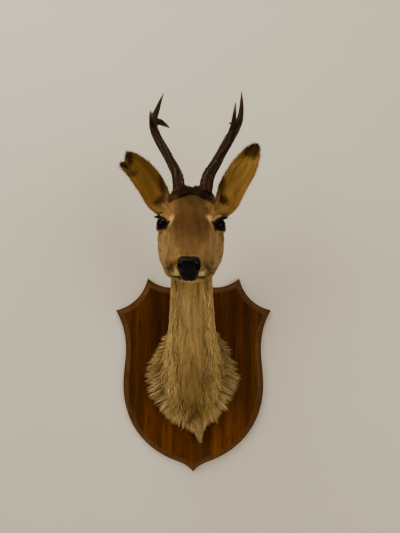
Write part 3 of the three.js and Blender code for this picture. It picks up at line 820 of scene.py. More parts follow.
@dataclass(frozen=True)
class GlassEye(Finish):
    """A taxidermist's glass eye: a dark brown iris and a wide black pupil under clear glass."""

    name: str = "glass_eye"
    roughness: float = 0.05
    ior: float = 1.52
    streak: float = 0.55  # streaks in the iris, mm

    def paint(self, tree: bpy.types.NodeTree) -> dict:
        """Adds the nodes of the finish.

        Args:
            tree: the material's tree.

        Returns:
            What feeds each input of the shader.
        """
        black = (0.0008, 0.0007, 0.0006, 1)
        pupil = node(tree, "Attribute", attribute_name="pupil")
        streaks = node(
            tree, "TexNoise",
            {"Vector": node(tree, "TexCoord").outputs["Object"], "Scale": 500 / self.streak, "Detail": 3.0})
        iris = node(tree, "Mix", {0: streaks, 6: linear("#0c0603"), 7: linear("#1e0f06")}, data_type="RGBA")
        ramp = node(
            tree, "ValToRGB", {0: pupil.outputs["Fac"]}, stops=[(0.5, (0, 0, 0, 1)), (0.62, (1, 1, 1, 1))])
        colour = node(tree, "Mix", {0: ramp, 6: black, 7: iris}, data_type="RGBA")
        return {"Base Color": colour, "Specular IOR Level": 0.05}


@dataclass(frozen=True)
class LidSkin(Finish):
    """The bare black edge of the eyelids and the lashes on it."""

    name: str = "lid_skin"
    roughness: float = 0.6
    ior: float = 1.42
    fold: float = 0.7  # fine creases, mm

    def paint(self, tree: bpy.types.NodeTree) -> dict:
        """Adds the nodes of the finish.

        Args:
            tree: the material's tree.

        Returns:
            What feeds each input of the shader.
        """
        folds = node(
            tree, "TexNoise",
            {"Vector": node(tree, "TexCoord").outputs["Object"], "Scale": 500 / self.fold, "Detail": 2.0})
        colour = node(tree, "Mix", {0: folds, 6: linear("#060403"), 7: linear("#150d09")}, data_type="RGBA")
        dent = node(tree, "Bump", {"Strength": 0.3, "Distance": 0.0003, "Height": folds})
        return {"Base Color": colour, "Normal": dent, "Specular IOR Level": 0.12}


@dataclass(frozen=True)
class AntlerBone(Finish):
    """Antler: bark-stained brown in the gutters, rubbed grey brown on ridges and pearls, pale tips."""

    name: str = "antler_bone"
    roughness: float = 0.62
    ior: float = 1.55
    grain: float = 1.19  # bone fibres, drawn out along the beam, mm
    stain: float = 8.3  # reddish patches of bark stain, mm

    def paint(self, tree: bpy.types.NodeTree) -> dict:
        """Adds the nodes of the finish.

        Args:
            tree: the material's tree.

        Returns:
            What feeds each input of the shader.
        """
        place = node(tree, "TexCoord").outputs["Object"]
        relief = node(tree, "Attribute", attribute_name="relief").outputs["Fac"]
        tip = node(tree, "Attribute", attribute_name="tip").outputs["Fac"]
        along = node(tree, "Mapping", {0: place, 3: (1, 1, 0.15)})
        grain = node(
            tree, "TexNoise", {"Vector": along, "Scale": 500 / self.grain, "Detail": 4.0, "Roughness": 0.65})
        broad = node(tree, "TexNoise", {"Vector": place, "Scale": 500 / self.stain, "Detail": 2.0})
        mottle = node(tree, "MapRange", {0: grain, 1: 0.3, 2: 0.7, 3: -0.22, 4: 0.22})
        raised = node(tree, "Math", {0: relief, 1: mottle}, operation="ADD")
        bark = [
            (0.15, linear("#0d0803")), (0.45, linear("#1a1208")), (0.7, linear("#2c2114")),
            (0.95, linear("#4c402f"))]
        colour = node(tree, "ValToRGB", {0: raised}, stops=bark)
        ruddy = node(tree, "MapRange", {0: broad, 1: 0.45, 2: 0.65, 3: 0.0, 4: 0.25})
        warmed = node(tree, "Mix", {0: ruddy, 6: colour, 7: linear("#3a2416")}, data_type="RGBA")
        worn = node(tree, "MapRange", {0: grain, 1: 0.3, 2: 0.7, 3: 0.15, 4: 0.6})
        bleach = node(tree, "Math", {0: tip, 1: worn}, operation="MULTIPLY")
        final = node(tree, "Mix", {0: bleach, 6: warmed, 7: linear("#8c7a66")}, data_type="RGBA")
        dent = node(tree, "Bump", {"Strength": 0.45, "Distance": 0.0007, "Height": grain})
        smooth = node(tree, "MapRange", {0: relief, 3: self.roughness + 0.12, 4: self.roughness - 0.12})
        return {
            "Base Color": final,
            "Normal": dent,
            "Roughness": smooth,
            "Specular IOR Level": 0.13,
            "Specular Tint": linear("#e6c9a0"),
        }


@dataclass(frozen=True)
class BrassPlate(Finish):
    """Brass-plated steel strip, stamped and tarnished."""

    name: str = "brass_plate"
    roughness: float = 0.36
    tarnish: float = 1.9  # spots of tarnish, mm

    def paint(self, tree: bpy.types.NodeTree) -> dict:
        """Adds the nodes of the finish.

        Args:
            tree: the material's tree.

        Returns:
            What feeds each input of the shader.
        """
        place = node(tree, "TexCoord").outputs["Object"]
        spots = node(tree, "TexNoise", {"Vector": place, "Scale": 500 / self.tarnish, "Detail": 4.0})
        colour = node(tree, "Mix", {0: spots, 6: linear("#8a6a30"), 7: linear("#c9a256")}, data_type="RGBA")
        dull = node(tree, "MapRange", {0: spots, 3: 0.5, 4: 0.28})
        return {"Base Color": colour, "Roughness": dull, "Metallic": 1.0}


@dataclass(frozen=True)
class PaintedPlaster(Finish):
    """Pale emulsion on smooth plaster; clear from behind, so the wall never hides the mount."""

    name: str = "painted_plaster"
    roughness: float = 0.85
    tint: str = "#d8d3c6"
    shade: str = "#cfc9bc"
    cloud: float = 312.5  # slow changes of tone, mm
    peel: float = 3.125  # the roller's orange peel, mm

    def paint(self, tree: bpy.types.NodeTree) -> dict:
        """Adds the nodes of the finish.

        Args:
            tree: the material's tree.

        Returns:
            What feeds each input of the shader.
        """
        place = node(tree, "TexCoord").outputs["Object"]
        cloud = node(tree, "TexNoise", {"Vector": place, "Scale": 500 / self.cloud, "Detail": 2.0})
        colour = node(
            tree, "Mix", {0: cloud, 6: linear(self.shade), 7: linear(self.tint)}, data_type="RGBA")
        orange_peel = node(tree, "TexNoise", {"Vector": place, "Scale": 500 / self.peel, "Detail": 2.0})
        dent = node(tree, "Bump", {"Strength": 0.06, "Distance": 0.0006, "Height": orange_peel})
        behind = node(tree, "NewGeometry").outputs["Backfacing"]
        front = node(tree, "Math", {0: 1.0, 1: behind}, operation="SUBTRACT")
        return {"Base Color": colour, "Normal": dent, "Alpha": front}


# The head's own directions --------------------------------------------------------------------


@dataclass(frozen=True)
class HeadDirections:
    """Places on the head as (x, back, up): back runs from the nose pad through the eyes."""

    at: tuple[float, float, float] = (0, -342, 171)
    pitch: float = math.radians(36)
    roll: float = math.radians(1.3)

    @property
    def nose(self) -> Array:
        """The middle of the nose, in mm."""
        return np.array(self.at, float)

    def axes(self) -> Array:
        """The directions x, back and up, one in each row.

        Returns:
            Three unit rows in the model's directions.
        """
        cp, sp = math.cos(self.pitch), math.sin(self.pitch)
        cr, sr = math.cos(self.roll), math.sin(self.roll)
        return np.array([(cr, sr * sp, -sr * cp), (0, cp, sp), (sr, -cr * sp, cr * cp)])

    def to_model(self, places: Array) -> Array:
        """Head places as model places, in mm."""
        return self.nose + np.asarray(places, float) @ self.axes()

    def to_head(self, points: Array) -> Array:
        """Model places as head places, in mm."""
        return (np.asarray(points, float) - self.nose) @ self.axes().T


HEAD = HeadDirections()


# The hide -------------------------------------------------------------------------------------


@dataclass
class NeckForm:
    """The neck under its coat, from the board to the back of the skull."""

    nape: list = field(default_factory=lambda: [
        (0, -20.3, 110), (0.06, -24, 113), (0.13, -31, 113), (0.2, -39, 119), (0.29, -48, 134),
        (0.42, -62, 160), (0.56, -84, 194), (0.7, -112, 232), (0.84, -140, 267), (1, -178, 290)])
    throat: list = field(default_factory=lambda: [
        (0, -20.3, -106), (0.06, -24, -112), (0.13, -34, -101), (0.2, -50, -82), (0.29, -72, -48),
        (0.42, -103, 14), (0.56, -130, 78), (0.7, -150, 130), (0.84, -172, 172), (1, -205, 196)])
    half: Profile = field(default_factory=lambda: Profile(
        (0, 87), (0.06, 90.5), (0.13, 79), (0.2, 59), (0.29, 49), (0.42, 43.5), (0.56, 39.5),
        (0.7, 37), (0.84, 38), (1, 38)))
    upper: Profile = field(default_factory=lambda: Profile(
        (0, 1.6), (0.13, 1.65), (0.29, 1.9), (0.42, 2), (1, 2)))
    lower: Profile = field(default_factory=lambda: Profile(
        (0, 1.5), (0.13, 1.6), (0.29, 1.9), (0.56, 2), (1, 2)))
    # Depth of the coat at the sides and along the nape and throat; at the board the hide goes
    # straight in and only the fringe stands out.
    side_coat: Profile = field(default_factory=lambda: Profile(
        (0, 34), (0.06, 37), (0.13, 27), (0.2, 9.5), (0.29, 5.5), (0.5, 5), (1, 4)))
    edge_coat: Profile = field(default_factory=lambda: Profile(
        (0, 26), (0.06, 32), (0.13, 22), (0.2, 10), (0.29, 6.5), (0.5, 5.5), (1, 4)))
    middle: float = -1.5
    widest: float = 0.47
    steps: int = 170
    sides: int = 130

    def edge(self, rows: list, t: Array) -> Array:
        """The nape or throat as points, for values of t.

        Args:
            rows: the throat or the nape, as rows of (share, y, z).
            t: shares of the way from the board to the head.

        Returns:
            One point for each share, on the neck's middle plane.
        """
        y = Profile(*((row[0], row[1]) for row in rows))(t)
        z = Profile(*((row[0], row[2]) for row in rows))(t)
        return np.stack([np.zeros_like(t), y, z], -1)

    def ring(self, t: Array, angle: Array, coat: float = 1.0) -> Array:
        """Points on the neck.

        Args:
            t: share of the way from board to skull.
            angle: round the neck from its left side over the nape, in radians.
            coat: share of the coat's depth left off: 1 is the hide and 0 the tips of the coat.

        Returns:
            The points, in mm.
        """
        top, low = self.edge(self.nape, t), self.edge(self.throat, t)
        upwards = unit(top - low) * (self.edge_coat(t) * coat)[..., None]
        top, low = top - upwards, low + upwards
        widest = low + (top - low) * self.widest
        above = np.sin(angle) >= 0
        power = 2 / np.where(above, self.upper(t), self.lower(t))
        x = (self.half(t) - self.side_coat(t) * coat) * signed_power(np.cos(angle), power)
        rise = (np.abs(np.sin(angle)) ** power)[..., None]
        place = widest + (np.where(above[..., None], top, low) - widest) * rise
        place[..., 0] += self.middle + x
        return place

    def shell(self) -> Shell:
        """The hide of the neck, with the lie of its coat.

        Returns:
            The surface, with its traits.
        """
        t, angle = np.meshgrid(
            np.linspace(0, 1, self.steps), np.arange(self.sides) / self.sides * 2 * np.pi, indexing="ij")
        rings = self.ring(t, angle)
        ahead = self.ring(np.maximum(t - 0.01, 0), angle) - self.ring(np.minimum(t + 0.01, 1), angle)
        stations = np.linspace(0, 1, 8)
        spine = Line([tuple((self.edge(self.nape, x) + self.edge(self.throat, x)) / 2) for x in stations])
        share = (np.arange(self.steps) / (self.steps - 1))[:, None, None]
        centre = (self.edge(self.nape, t) + self.edge(self.throat, t)) / 2
        out = np.linalg.norm(rings - centre, axis=-1)
        drop = np.broadcast_to(share[..., 0] * spine.length * 0.12, t.shape)
        comb = np.stack([rings[..., 0], np.sin(angle) * out, drop], -1)
        sheet = np.stack([0.04 + 0.42 * (angle / (2 * np.pi)), 0.04 + 0.9 * t, np.zeros_like(t)], -1)
        return tube(rings, {
            "part": np.full(t.shape, Part.NECK.value, float), "flow": unit(ahead), "comb": comb * MM,
            "sheet": sheet, "reach": t, "spread": np.zeros_like(t),
        })


@dataclass(frozen=True)
class Swelling:
    """A rounded rise or hollow on the head, on both sides alike."""

    at: tuple[float, float, float]
    spread: float
    height: float


@dataclass
class HeadForm:
    """The head under its coat."""

    length: float = 214
    top: Profile = field(default_factory=lambda: Profile(
        (0, 8), (10, 12.5), (28, 16), (50, 19), (75, 22), (100, 26), (125, 31), (148, 36), (170, 37),
        (192, 30), (214, 16)))
    bottom: Profile = field(default_factory=lambda: Profile(
        (0, -26), (10, -31), (28, -39), (50, -51), (75, -64), (100, -75.5), (125, -84), (148, -87),
        (170, -84), (192, -72), (214, -54)))
    half: Profile = field(default_factory=lambda: Profile(
        (0, 20), (10, 25), (28, 30), (50, 34), (75, 39.5), (100, 45.5), (125, 50), (148, 51), (170, 48),
        (192, 42), (214, 34)))
    widest: Profile = field(default_factory=lambda: Profile(
        (0, -8), (10, -12), (28, -17), (50, -23), (75, -31), (100, -37), (125, -42), (148, -44), (170, -34),
        (192, -22), (214, -14)))
    upper: Profile = field(default_factory=lambda: Profile(
        (0, 2.6), (10, 2.4), (28, 2.2), (50, 2.1), (75, 2.1), (100, 2.15), (125, 2.3), (170, 2.3),
        (192, 2.1), (214, 2)))
    lower: Profile = field(default_factory=lambda: Profile(
        (0, 2.7), (10, 2.9), (28, 3.4), (50, 3.8), (75, 3.8), (100, 3.4), (125, 3.1), (148, 2.8),
        (170, 2.4), (192, 2.1), (214, 2)))
    coat: Profile = field(default_factory=lambda: Profile(
        (0, 0.8), (30, 1.1), (75, 1.6), (125, 2.2), (170, 3.4), (214, 4)))
    muzzle_round: float = 11
    skull_round: float = 30
    swellings: tuple = (
        Swelling((37, 134, 16), 14, 4), Swelling((44, 120, -17), 12, 1.5), Swelling((44, 142, -44), 26, 2),
        Swelling((36, 104, 1), 11, -3), Swelling((18, 72, 10), 15, -1.5), Swelling((24, 32, -14), 13, 1.8),
        Swelling((18, 167, 34), 12, 4))
    steps: int = 150
    sides: int = 150

    def shell(self) -> Shell:
        """The hide of the head, with the lie of its coat.

        Returns:
            The surface, with its traits.
        """
        share, angle = np.meshgrid(
            np.linspace(0, 1, self.steps), np.arange(self.sides) / self.sides * 2 * np.pi, indexing="ij")
        back = self.length * (share * 0.2 + (1 - np.cos(np.pi * share)) / 2 * 0.8)
        before = self.rounded(back, self.muzzle_round)
        behind = self.rounded(self.length - back, self.skull_round)
        left = np.minimum(before, behind).clip(0.05)
        widest, coat = self.widest(back), self.coat(back)
        above = np.sin(angle) >= 0
        power = 2 / np.where(above, self.upper(back), self.lower(back))
        reach = np.where(above, self.top(back) - widest, widest - self.bottom(back)) - coat
        x = left * (self.half(back) - coat) * signed_power(np.cos(angle), power)
        rise = left * reach * signed_power(np.sin(angle), power)
        out = unit(np.stack([x, rise], -1))
        folded = np.stack([np.abs(x), back, widest + rise], -1)
        push = sum(
            s.height * np.exp(-((folded - np.array(s.at)) ** 2).sum(-1) / s.spread**2)
            for s in self.swellings
        )
        along = back + coat * np.cos(np.pi * share)
        places = np.stack([x + push * out[..., 0], along, widest + rise + push * out[..., 1]], -1)
        rings = HEAD.to_model(places)[:, ::-1]
        # Hair runs back from the nose, fans out over the cheeks and turns down towards the throat.
        down = smooth_step(back, 60, 190) * smooth_step(-(widest + rise), 0, 50)
        fan = 0.25 * np.sign(x) * smooth_step(np.abs(x), 0, 30) * smooth_step(back, 20, 120)
        lie = np.stack([fan, np.ones_like(x), -0.55 * down], -1)
        flow = unit(lie) @ HEAD.axes()
        comb = np.stack([places[..., 0], places[..., 2], back * 0.14], -1)
        sheet = np.stack(
            [0.52 + 0.28 * (angle / (2 * np.pi)), 0.04 + 0.9 * share, np.zeros_like(share)], -1)
        return tube(rings, {
            "part": np.full(share.shape, Part.HEAD.value, float), "flow": flow[:, ::-1],
            "comb": comb[:, ::-1] * MM, "sheet": sheet[:, ::-1], "reach": share,
            "spread": np.zeros_like(share),
        })

    @staticmethod
    def rounded(distance: Array, length: float) -> Array:
        """How much of the full section is left near a rounded end."""
        return np.sqrt(np.maximum(1 - (1 - np.minimum(distance / length, 1)) ** 2, 0))


@dataclass
class EarForm:
    """One ear: a curled leaf of gristle and skin, open to the front and side."""

    side: Side
    line: list
    half_width: Profile = field(default_factory=lambda: Profile(
        (0, 12.5), (0.07, 17.5), (0.2, 21.5), (0.42, 22.8), (0.62, 22.2), (0.8, 17.5), (0.93, 10.5),
        (1, 3)))
    curl: Profile = field(default_factory=lambda: Profile(
        (0, 96), (0.25, 80), (0.5, 64), (0.8, 50), (1, 36)))
    thickness: Profile = field(default_factory=lambda: Profile((0, 6), (0.3, 4), (0.7, 3.2), (1, 2.6)))
    opening: tuple = (0.3, -0.95, 0.05)
    coat: float = 1.1
    tears: tuple = ()  # middle, reach, depth and direction of each notch torn in the rim
    steps: int = 90
    arc: int = 44

    def shell(self) -> Shell:
        """The ear's skin, back and inside, with the lie of its hair.

        Returns:
            The surface, with its traits.
        """
        line = Line(self.line)
        t = np.linspace(0, 1, self.steps)
        along = line.along(t)
        opening = unit(np.array([self.side.value * self.opening[0], *self.opening[1:]]))
        across = unit(np.cross(along, opening))
        facing = np.cross(across, along)
        angle = np.radians(self.curl(t))
        width = self.half_width(t) - self.coat
        radius = (width / np.sin(np.minimum(angle, np.pi / 2)))[:, None, None]
        spine = line.at(t)[:, None] + facing[:, None] * self.coat
        share = np.linspace(-1, 1, self.arc)
        turn = (angle[:, None] * share)[..., None]
        thick = np.maximum(self.thickness(t)[:, None] * (1 - 0.45 * share**2), 2.3)[..., None]
        # Ribs of gristle run up the inside.
        ribbed = smooth_step(t, 0.08, 0.3) * smooth_step(1 - t, 0.1, 0.4)
        ribs = 0.7 * np.cos(share * 9.5)[None, :, None] * ribbed[:, None, None]
        sheets = []
        for r in (radius, radius - thick - ribs):
            sunk = facing[:, None] * (radius - r * np.cos(turn))
            sheets.append(spine + across[:, None] * (r * np.sin(turn)) + sunk)
        rings = np.concatenate([sheets[0], sheets[1][:, ::-1]], 1)[:, ::-1]
        for tear in self.tears:
            rings = self.torn(rings, *tear)
        count = 2 * self.arc
        inside = np.tile((np.arange(count) >= self.arc)[::-1], (self.steps, 1))
        both = np.concatenate([share, share[::-1]])[::-1]
        spread = np.tile(both, (self.steps, 1))
        reach = np.tile(t[:, None], (1, count))
        flow = unit(along[:, None] + across[:, None] * (spread * 0.35)[..., None])
        comb = np.stack([spread * 20, np.where(inside, 6.0, 0.0), reach * line.length * 0.14], -1)
        left = 0.82 if self.side is Side.LEFT else 0.91
        sheet = np.stack(
            [left + 0.035 * (spread + 1), np.where(inside, 0.52, 0.04) + 0.4 * reach, np.zeros_like(reach)],
            -1)
        part = np.where(inside, Part.EAR_INSIDE.value, Part.EAR_BACK.value).astype(float)
        return tube(
            rings,
            {
                "part": part,
                "flow": flow,
                "comb": comb * MM,
                "sheet": sheet,
                "reach": reach,
                "spread": spread,
            },
        )

    def torn(self, rings: Array, middle: tuple, reach: float, depth: float, towards: tuple) -> Array:
        """Pulls the rim back out of a tear.

        Args:
            rings: the ear's rings.
            middle: where the notch is deepest.
            reach: how far it spreads along the rim, in mm.
            depth: how deep it is, in mm.
            towards: the direction in which the rim is pulled.

        Returns:
            The rings with the notch in them.
        """
        away = np.linalg.norm(rings - np.array(middle), axis=-1)
        return rings + np.array(towards) * (depth * bump(away, reach))[..., None]


@dataclass(frozen=True)
class Stroke:
    """A groove, or with a negative depth a ridge, drawn along a path on both sides of the head."""

    path: tuple
    width: float
    depth: float
    axes: tuple = (0, 1, 2)  # which of (x, back, up) the path's points give
    # The darkness is partly the hair's and skin's own, partly painted shade in the groove.
    stain: float = 0.0  # how dark the hair is along it

    def near(self, places: Array) -> Array:
        """How near each place is to the path: 1 on it and nearly 0 at twice the width.

        Args:
            places: head places, with x folded to the left side.

        Returns:
            The nearness at each.
        """
        p = places[:, self.axes]
        path = np.array(self.path, float)
        near = np.full(len(p), np.inf)
        for a, b in zip(path, path[1:]):
            along = np.clip(((p - a) @ (b - a)) / ((b - a) @ (b - a)), 0, 1)
            near = np.minimum(near, np.linalg.norm(p - a - along[:, None] * (b - a), axis=1))
        return bump(near, self.width)


@dataclass
class EyeForm:
    """One glass eye, the lids round it and its lashes."""

    side: Side
    radius: float = 12.0
    at: tuple = (38, 121.2, -1.8)
    gaze: tuple = (0.71, -0.68, 0.17)
    half_long: float = 11.5  # of the opening between the lids
    half_high: float = 9.5
    lid: float = 1.7
    tilt_deg: float = 19.0  # the outer corner stands higher than the tear duct

    def centre(self) -> Array:
        """The middle of the ball, in mm."""
        return HEAD.to_model(np.array([self.side.value * self.at[0], *self.at[1:]]))

    def directions(self) -> Array:
        """Along the opening towards the nose, across it upwards, and out along the gaze.

        Returns:
            Three unit rows.
        """
        out = unit(np.array([self.side.value * self.gaze[0], *self.gaze[1:]]))
        level = unit(np.cross(out, (0, 0, 1.0))) * self.side.value
        up = np.cross(out, level)
        up = up if up[2] > 0 else -up
        lean = math.radians(self.tilt_deg)
        nosewards = level * math.cos(lean) - up * math.sin(lean)
        return np.stack([nosewards, up * math.cos(lean) + level * math.sin(lean), out])

    def local(self, points: Array) -> Array:
        """Points as (nosewards, up, out) from the middle of the ball."""
        return (points - self.centre()) @ self.directions().T

    def outline(self, turn: Array) -> tuple[Array, Array]:
        """The opening's edge: pointed at the tear duct, flatter above.

        Args:
            turn: angles round the opening, 0 at the tear duct and rising over the upper lid.

        Returns:
            Nosewards and up, in mm on the ball.
        """
        duct = bump(np.angle(np.exp(1j * turn)), 0.45)
        nosewards = self.half_long * np.cos(turn)
        up = self.half_high * np.sin(turn) * np.where(np.sin(turn) > 0, 0.82, 1.0)
        return nosewards, up * (1 - 0.3 * duct) - 1.2 * duct

    def opening(self, local: Array) -> Array:
        """How far places are from the opening: below 1 inside it and above 1 outside.

        Args:
            local: places as (nosewards, up, out) from the middle of the ball.

        Returns:
            The ratio at each; 9 behind the ball's middle.
        """
        scaled = unit(local) * self.radius
        turn = np.arctan2(scaled[:, 1] / self.half_high, scaled[:, 0] / self.half_long)
        edge_x, edge_y = self.outline(turn)
        size = np.hypot(scaled[:, 0], scaled[:, 1]) / np.hypot(edge_x, edge_y)
        return np.where(local[:, 2] > 0, size, 9.0)

    def shape_lids(self, points: Array) -> Array:
        """Moves the hide round the ball: a socket inside the opening, lids over the ball outside it.

        Args:
            points: the hide's points, in mm.

        Returns:
            The moved points.
        """
        local = self.local(points)
        away = np.linalg.norm(local, axis=1)
        near = (away < self.radius * 2.2) & (local[:, 2] > -2)
        q, r = local[near], away[near]
        open_by = self.opening(q)
        shut = smooth_step(open_by, 0.92, 1.04)
        upper = smooth_step(q[:, 1], -2, 5)
        # A roll along the lid's edge, higher above, and a crease beyond it.
        over = self.radius + self.lid + (0.8 + 1.2 * upper) * bump(open_by - 1.16, 0.13)
        over -= 0.8 * bump(open_by - 1.5, 0.14)
        lid_r = np.maximum(r, over * (1 - smooth_step(open_by, 1.9, 2.6)))
        new_r = (self.radius - 2.4) * (1 - shut) + lid_r * shut
        new_r = np.where(open_by > 2.6, r, new_r)
        moved = points.copy()
        moved[near] = self.centre() + (unit(q) * new_r[:, None]) @ self.directions()
        return moved

    def stain(self, points: Array) -> Array:
        """How dark the hide is: bare black skin round the opening, drawn out at the tear duct.

        Args:
            points: places on the hide, in mm.

        Returns:
            From 0, hair colour, to 1, black, at each.
        """
        local = self.local(points)
        away = np.linalg.norm(local, axis=1)
        open_by = self.opening(local)
        duct = bump(np.arctan2(local[:, 1] + 1.5, local[:, 0]), 0.4) * 0.04
        edge = open_by - duct
        return np.where(away < self.radius * 2, 1 - smooth_step(edge, 0.98, 1.09), 0.0)

    def build(self) -> list[bpy.types.Object]:
        """The ball, the lid edge and the lashes.

        Returns:
            The three pieces.
        """
        word = self.side.word
        out = self.directions()
        turn, lean = np.meshgrid(np.arange(64) / 64 * 2 * np.pi, np.linspace(0.02, np.pi - 0.02, 44))
        local = np.stack([np.sin(lean) * np.cos(turn), np.sin(lean) * np.sin(turn), np.cos(lean)], -1)
        size = self.radius + 0.5 * bump(lean, 0.75)
        rings = self.centre() + (local * size[..., None]) @ out
        pupil = np.hypot(local[..., 0] * 0.75, local[..., 1] * 1.25)
        pupil = np.where(local[..., 2] > 0, pupil, 1.0)
        if np.linalg.det(out) > 0:
            rings, pupil = rings[:, ::-1], pupil[:, ::-1]
        ball = mesh_of(f"glass_eye_{word}", tube(rings, {"pupil": pupil}))
        GlassEye().dress(ball)
        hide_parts(f"eye_{word}")
        return [ball, self.lid_edge(out), self.lashes(out)]

    def on_ball(self, turn: Array, wider: Array | float, radius: Array | float, out: Array) -> Array:
        """Places near the ball, on a ring round the opening.

        Args:
            turn: angles round the opening.
            wider: how many times the opening's size the ring is.
            radius: distance from the middle of the ball, in mm.
            out: the eye's directions.

        Returns:
            The places, in mm.
        """
        x, y = self.outline(turn)
        x, y = x * wider / self.radius, y * wider / self.radius
        z = np.sqrt(np.maximum(1 - x * x - y * y, 0.02))
        return self.centre() + (unit(np.stack([x, y, z], -1)) * np.asarray(radius)[..., None]) @ out

    def lid_edge(self, out: Array) -> bpy.types.Object:
        """The bare black edge of the lids, with the tear duct drawn out towards the nose.

        Args:
            out: the eye's directions.

        Returns:
            The piece.
        """
        turn = np.arange(120) / 120 * 2 * np.pi
        duct = bump(np.angle(np.exp(1j * turn)), 0.2)
        section = np.arange(10) / 10 * 2 * np.pi
        rings = []
        for part in section:
            wide = 1.0 + (0.09 + 0.04 * duct) * np.cos(part) + 0.05 * duct
            rings.append(self.on_ball(turn, wide, self.radius + 0.5 + 0.8 * np.sin(part), out))
        rings = np.stack(rings, 1)
        faces = tube_faces(len(turn) + 1, len(section), False)[0] % (len(turn) * len(section))
        if np.linalg.det(out) < 0:
            faces = faces[:, ::-1]
        edge = mesh_of(f"lid_edge_{self.side.word}", Shell(rings.reshape(-1, 3), [faces]))
        LidSkin().dress(edge)
        return edge

    def lashes(self, out: Array) -> bpy.types.Object:
        """Dark lashes along the upper lid, longest at its outer end.

        Args:
            out: the eye's directions.

        Returns:
            The piece.
        """
        rng = np.random.default_rng(31 + self.side.value)
        count = 90
        share = rng.random(count) ** 0.75
        turn = np.radians(78 + 68 * share)
        root = self.on_ball(turn, 1.0 + 0.06 * rng.random(count), self.radius + 1.4, out)
        length = (2.5 + 10.0 * share**1.8) * (0.75 + 0.4 * rng.random(count))
        forward = out[2] * 0.5 + out[1] * 0.1 - out[0] * (0.4 + 1.0 * share[:, None])
        forward = unit(forward + rng.normal(0, 0.1, (count, 3)))
        lash = Strands(
            root, np.tile(out[2], (count, 1)), forward, length=length, width=np.full(count, 0.6),
            lift=np.radians(np.full(count, 20.0)))
        piece = mesh_of(f"lashes_{self.side.word}", lash.shell(rings=3))
        LidSkin().dress(piece)
        return piece


@dataclass
class Hide:
    """The one skin over neck, head and ears, under the coat."""

    neck: NeckForm
    head: HeadForm
    ears: list[EarForm]
    eyes: list[EyeForm]
    voxel: float = 1.25
    strokes: tuple = (
        Stroke(  # lips
            ((-4, -20.5), (4, -22.5), (12, -25), (20, -27.5), (32, -32), (50, -37.5), (64, -40)),
            2.0, 2.4, (1, 2), 1.0),
        Stroke(((-4, -26), (10, -30.5), (30, -38), (50, -44), (62, -46)), 3.2, -2.2, (1, 2)),  # lower lip
        Stroke(  # fold beside the nose
            ((15.5, 0, 5), (19.5, 4, -2), (24, 11, -12), (28, 20, -23), (29, 28, -30)),
            2.8, 1.4, (0, 1, 2), 0.75),
        Stroke(((20, 3, 6), (26, 16, -2), (31, 30, -14)), 3.2, -1.0),  # lip pad outside that fold
        Stroke(((9, 22, 16), (14, 50, 18), (20, 84, 19)), 2.6, 0.8, (0, 1, 2), 0.12),  # nasal bones' edge
        Stroke(((29, 106, -4), (26, 98, -9), (24, 90, -13)), 2.4, 1.6, (0, 1, 2), 0.35),  # tear line
        Stroke(((22, 118, 26), (33, 128, 25), (44, 140, 20)), 4.5, -1.6),  # brow
        Stroke(((42, 92, -22), (50, 124, -26), (52, 150, -22)), 5.0, -1.2),  # cheek bone
        Stroke(((30, 46, -44), (38, 84, -62), (40, 120, -76)), 5.0, -1.0),  # edge of the jaw
        Stroke(((0, 120, 34), (0, 160, 42)), 5.0, 0.8),  # hollow of the forehead
    )

    def build(self) -> bpy.types.Object:
        """Melts the parts together and shapes the face.

        Returns:
            The hide, with its traits as attributes.
        """
        parts = [self.neck.shell(), self.head.shell(), *(ear.shell() for ear in self.ears)]
        source = parts[0].joined(*parts[1:])
        self.piece = melted(mesh_of("hide", Shell(source.points, source.faces)), self.voxel)
        self.links = Neighbours(self.piece.data)
        points = self.links.spread(points_of(self.piece), 4)
        self.traits = self.read_traits(source, points)
        points = self.shape_face(points)
        move_points(self.piece, points)
        self.points, self.normals = points, normals_of(self.piece)
        self.places = HEAD.to_head(points)
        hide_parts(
            "shoulder", "neck_lower", "neck_upper", "head", "lower_jaw", "ear_left",
            "ear_right")
        RoeCoat().dress(self.piece)
        skin = np.tile((0.4, 0.5, 0.0), (len(points), 1))
        keep(self.piece, {"root": points * MM, "strand": skin})
        keep(self.piece, {name: self.traits[name] for name in ("comb", "stain")})
        return self.piece

    def read_traits(self, source: Shell, points: Array) -> dict[str, Array]:
        """What the nearest place of the plain parts knows, evened out.

        Args:
            source: the plain parts with their traits.
            points: the melted hide's points.

        Returns:
            The traits at the hide's points.
        """
        near = nearest_of(source.points, points)
        found = {k: v[near] for k, v in source.traits.items()}
        found["flow"] = unit(self.links.spread(found["flow"], 14))
        ear = (found["part"] >= Part.EAR_BACK.value).astype(float)[:, None]
        found["ear"] = self.links.spread(ear, 4)[:, 0]
        inside = (found["part"] == Part.EAR_INSIDE.value).astype(float)[:, None]
        found["inside"] = self.links.spread(inside, 3)[:, 0]
        return found

    def shape_face(self, points: Array) -> Array:
        """Draws folds and lids on the hide, and notes how dark the hide is drawn there: dark skin and hair,
        with painted shade in the folds.

        Args:
            points: the hide's points.

        Returns:
            The shaped points.
        """
        move_points(self.piece, points)
        normals = normals_of(self.piece)
        places = HEAD.to_head(points)
        places[:, 0] = np.abs(places[:, 0])
        face = (self.traits["ear"] < 0.3) & (places[:, 1] < 190)
        stain = np.zeros(len(points))
        points = points.copy()
        for stroke in self.strokes:
            near = stroke.near(places[face])
            points[face] -= normals[face] * (near * stroke.depth)[:, None]
            stain[face] = np.maximum(stain[face], near * stroke.stain)
        for eye in self.eyes:
            points = eye.shape_lids(points)
            stain = np.maximum(stain, eye.stain(points))
        self.traits["stain"] = stain
        return points


# The coat -------------------------------------------------------------------------------------


